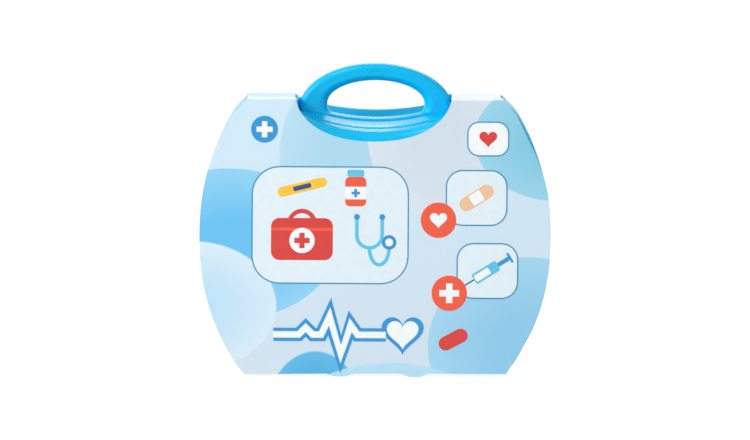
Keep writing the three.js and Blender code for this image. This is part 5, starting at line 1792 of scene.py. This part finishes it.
class TOYCASE_OT_pill_pot(Operator):
    """Builds the round pill pot with its label and its ribbed lid"""

    bl_idname = "toycase.pill_pot"
    bl_label = "Pill pot"

    def execute(self, context):
        middle, half = middle_of("pill_pot")
        r, run = half.x / MM, 2 * half.z / MM
        pot = [(0, 0), (r - 1.2, 0), (r - 0.3, 0.5), (r, 1.4), (r, run - 2)]
        pot += [(r - 0.8, run - 1), (r - 0.8, run), (0, run)]
        round_piece("pill_pot", pot, "z", "lid", "blue", 64)
        low = middle.z - half.z
        label = turned(band(r - 0.1, r + 0.08, 5, 19), "z", Vector((middle.x, middle.y, low)), 0, 64)
        piece("pill_pot_label", label, "lid", ["ink_white"])
        low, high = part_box("pill_pot_lid")
        profile = [(0, 0), (r - 0.5, 0), (r - 0.3, 0.3), (r - 0.3, 6), (r - 1.2, 7), (0, 7)]
        bm = turned(in_mm(profile), "z", Vector((middle.x, middle.y, low.z)))
        bm = fluted(bm, middle, (r - 0.42) * MM, low.z + 0.8 * MM, high.z - 1.2 * MM, 28)
        piece("pill_pot_lid_ribbed", bm, "lid", ["white"], ["pill_pot_lid"])
        return {"FINISHED"}


class TOYCASE_OT_drip_bag(Operator):
    """Builds the toy drip bag with its label"""

    bl_idname = "toycase.drip_bag"
    bl_label = "Drip bag"

    def execute(self, context):
        dressed("drip_bag", "lid", "red", 0.9, 4)
        low, high = (Vector(v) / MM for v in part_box("drip_bag"))
        x, z = (low.x + high.x) / 2, low.z + 26
        p = Print(["ink_white", "ink_red"], high.y * MM, 1)
        p.lay(oblong(x, z, 19, 24, 3), "ink_white")
        p.lay(plus(x, z + 4.5, 8, 2.8), "ink_red")
        for i in range(3):
            p.lay(oblong(x, z - 3.5 - 2.6 * i, 12 - 2 * i, 0.8, 0.35), "ink_red")
        piece("drip_bag_label", p.bm, "lid", p.inks)
        return {"FINISHED"}


class TOYCASE_OT_glasses(Operator):
    """Builds the toy glasses: their frame and the two folded temples"""

    bl_idname = "toycase.glasses"
    bl_label = "Glasses"

    def execute(self, context):
        low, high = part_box("glasses_frame")
        x, z = (low.x + high.x) / 2, low.z + 18 * MM
        spacing = 23 * MM  # from the middle of the bridge to a lens's middle
        bridge = high.z - 7.2 * MM
        bm = block(x - spacing, x + spacing, low.y, high.y, bridge - 1.8 * MM, bridge + 1.8 * MM, 0.8 * MM)
        for side in (-1, 1):
            bm = combine(bm, rod("y", 15.6 * MM, low.y - MM, high.y + MM, x + side * spacing, z, 64))
        for side in (-1, 1):
            centre = Vector((x + side * spacing, 0, z))
            ring = turned(band(14, 17.9, low.y / MM, high.y / MM), "y", centre, 0.9 * MM, 72)
            bm = combine(bm, ring, "UNION")
            ends = sorted((x + side * (spacing + 14.5 * MM), x + side * (spacing + 20.5 * MM)))
            bm = combine(bm, block(*ends, low.y, high.y, bridge - 4.4 * MM, bridge, 0.7 * MM), "UNION")
        piece("glasses_frame_round", bm, "lid", ["yellow"], ["glasses_frame"])
        for name in ("glasses_temple_left", "glasses_temple_right"):
            dressed(name, "lid", "yellow", 0.7, 3)
        return {"FINISHED"}


# Stage


def seen_directly(tree):
    """1 for the camera's rays, reflections and rays through clear pieces, and 0 for the light on the case."""
    path = add(tree, "ShaderNodeLightPath").outputs
    seen = path["Is Camera Ray"]
    for ray in ("Is Glossy Ray", "Is Transmission Ray"):
        seen = add(tree, "ShaderNodeMath", {0: seen, 1: path[ray]}, operation="MAXIMUM")
    return seen


class TOYCASE_OT_stage(Operator):
    """Sets the floor, the lights and the camera"""

    bl_idname = "toycase.stage"
    bl_label = "Stage"

    def execute(self, context):
        s = settings().stage
        scene = context.scene
        scene.view_settings.view_transform = "Standard"
        world = bpy.data.worlds.new("studio")
        scene.world = world
        world.use_nodes = True
        tree = world.node_tree
        tree.nodes.clear()
        strength = spread(tree, seen_directly(tree), 0, 1, 0.36, 1)
        glow = add(tree, "ShaderNodeBackground", {"Color": (1, 1, 1, 1), "Strength": strength})
        tree.links.new(glow.outputs[0], add(tree, "ShaderNodeOutputWorld").inputs["Surface"])

        bm = bmesh.new()
        bmesh.ops.create_grid(bm, x_segments=2, y_segments=2, size=40)
        floor = shown("studio_floor", as_mesh(bm, "studio_floor"))
        made, tree, output, place = material("pale_studio_floor")
        grain = noise(tree, place, 3)
        paint = mixed(tree, grain, linear("#E2E2E2"), linear("#EAEAEA"))
        seen = seen_directly(tree)
        matt = add(tree, "ShaderNodeBsdfDiffuse", {"Color": mixed(tree, seen, paint, linear("#9A9A9A"))})
        glow = add(tree, "ShaderNodeEmission", {"Strength": spread(tree, seen, 0, 1, 0, 0.9)})
        both = add(tree, "ShaderNodeAddShader", {0: matt, 1: glow})
        tree.links.new(both.outputs[0], output.inputs["Surface"])
        floor.data.materials.append(made)

        aim = Vector((0, 0, 0.11))  # the middle of the case
        # Each lamp's name, place in metres, power in watts, and width and height in metres
        for name, stand, power, width, height in (
            ("key", (-2.2, -2.5, 1.8), 46.0, 1.0, 1.0),
            ("overhead", (-0.8, -1.3, 2.6), 17.0, 0.6, 0.4),
            ("side_strip", (-2.7, -0.6, 1.4), 34.0, 0.6, 1.4),
            ("fill", (2.4, -2.0, 0.9), 8.0, 1.2, 1.2),
            ("back", (0.5, 2.4, 1.9), 18.0, 1.4, 0.7),
        ):
            light = bpy.data.lights.new(name, "AREA")
            light.shape = "RECTANGLE"
            light.size, light.size_y = width, height
            light.energy = power
            lamp = shown(name, light)
            lamp.location = stand
            lamp.rotation_euler = (aim - Vector(stand)).to_track_quat("-Z", "Y").to_euler()

        a, e = s.azimuth, s.elevation
        back = Vector((math.sin(a) * math.cos(e), -math.cos(a) * math.cos(e), math.sin(e)))
        lens = bpy.data.cameras.new("camera")
        lens.sensor_width = 36
        lens.lens = s.lens
        lens.clip_end = 200
        camera = shown("camera", lens)
        camera.location = Vector(s.target) + back * s.distance
        turn = (-back).to_track_quat("-Z", "Y").to_matrix() @ Matrix.Rotation(s.roll, 3, "Z")
        camera.rotation_euler = turn.to_euler()
        scene.camera = camera
        return {"FINISHED"}


PIECE_OPERATORS = [
    TOYCASE_OT_stage,
    TOYCASE_OT_lid,
    TOYCASE_OT_base,
    TOYCASE_OT_handle,
    TOYCASE_OT_card_front,
    TOYCASE_OT_card_rear,
    TOYCASE_OT_print,
    TOYCASE_OT_latches,
    TOYCASE_OT_pins,
    TOYCASE_OT_drawers,
    TOYCASE_OT_forceps,
    TOYCASE_OT_scissors,
    TOYCASE_OT_tray,
    TOYCASE_OT_stethoscope,
    TOYCASE_OT_monitor,
    TOYCASE_OT_hammer,
    TOYCASE_OT_syringe,
    TOYCASE_OT_thermometer,
    TOYCASE_OT_bottle,
    TOYCASE_OT_board,
    TOYCASE_OT_rail,
    TOYCASE_OT_shelf,
    TOYCASE_OT_medicine_box,
    TOYCASE_OT_pill_pot,
    TOYCASE_OT_drip_bag,
    TOYCASE_OT_glasses,
]


class TOYCASE_PT_panel(Panel):
    """Lists the pieces"""

    bl_idname = "TOYCASE_PT_panel"
    bl_label = "Toy case"
    bl_space_type = "VIEW_3D"
    bl_region_type = "UI"
    bl_category = "Toy case"

    def draw(self, context):
        for operator in PIECE_OPERATORS:
            self.layout.operator(operator.bl_idname)


GROUPS = [CaseSizes, DishSizes, HandleSizes, CardSizes, Colours, Stage, ToyCase]
CLASSES = [*GROUPS, *PIECE_OPERATORS, TOYCASE_PT_panel]


def register():
    for one in CLASSES:
        bpy.utils.register_class(one)
    bpy.types.Scene.toy_case = PointerProperty(type=ToyCase)


def unregister():
    del bpy.types.Scene.toy_case
    for one in reversed(CLASSES):
        bpy.utils.unregister_class(one)


def main():
    register()
    for operator in PIECE_OPERATORS:
        name = operator.bl_idname.split(".")[1]
        getattr(bpy.ops.toycase, name)()


if __name__ == "__main__":
    main()
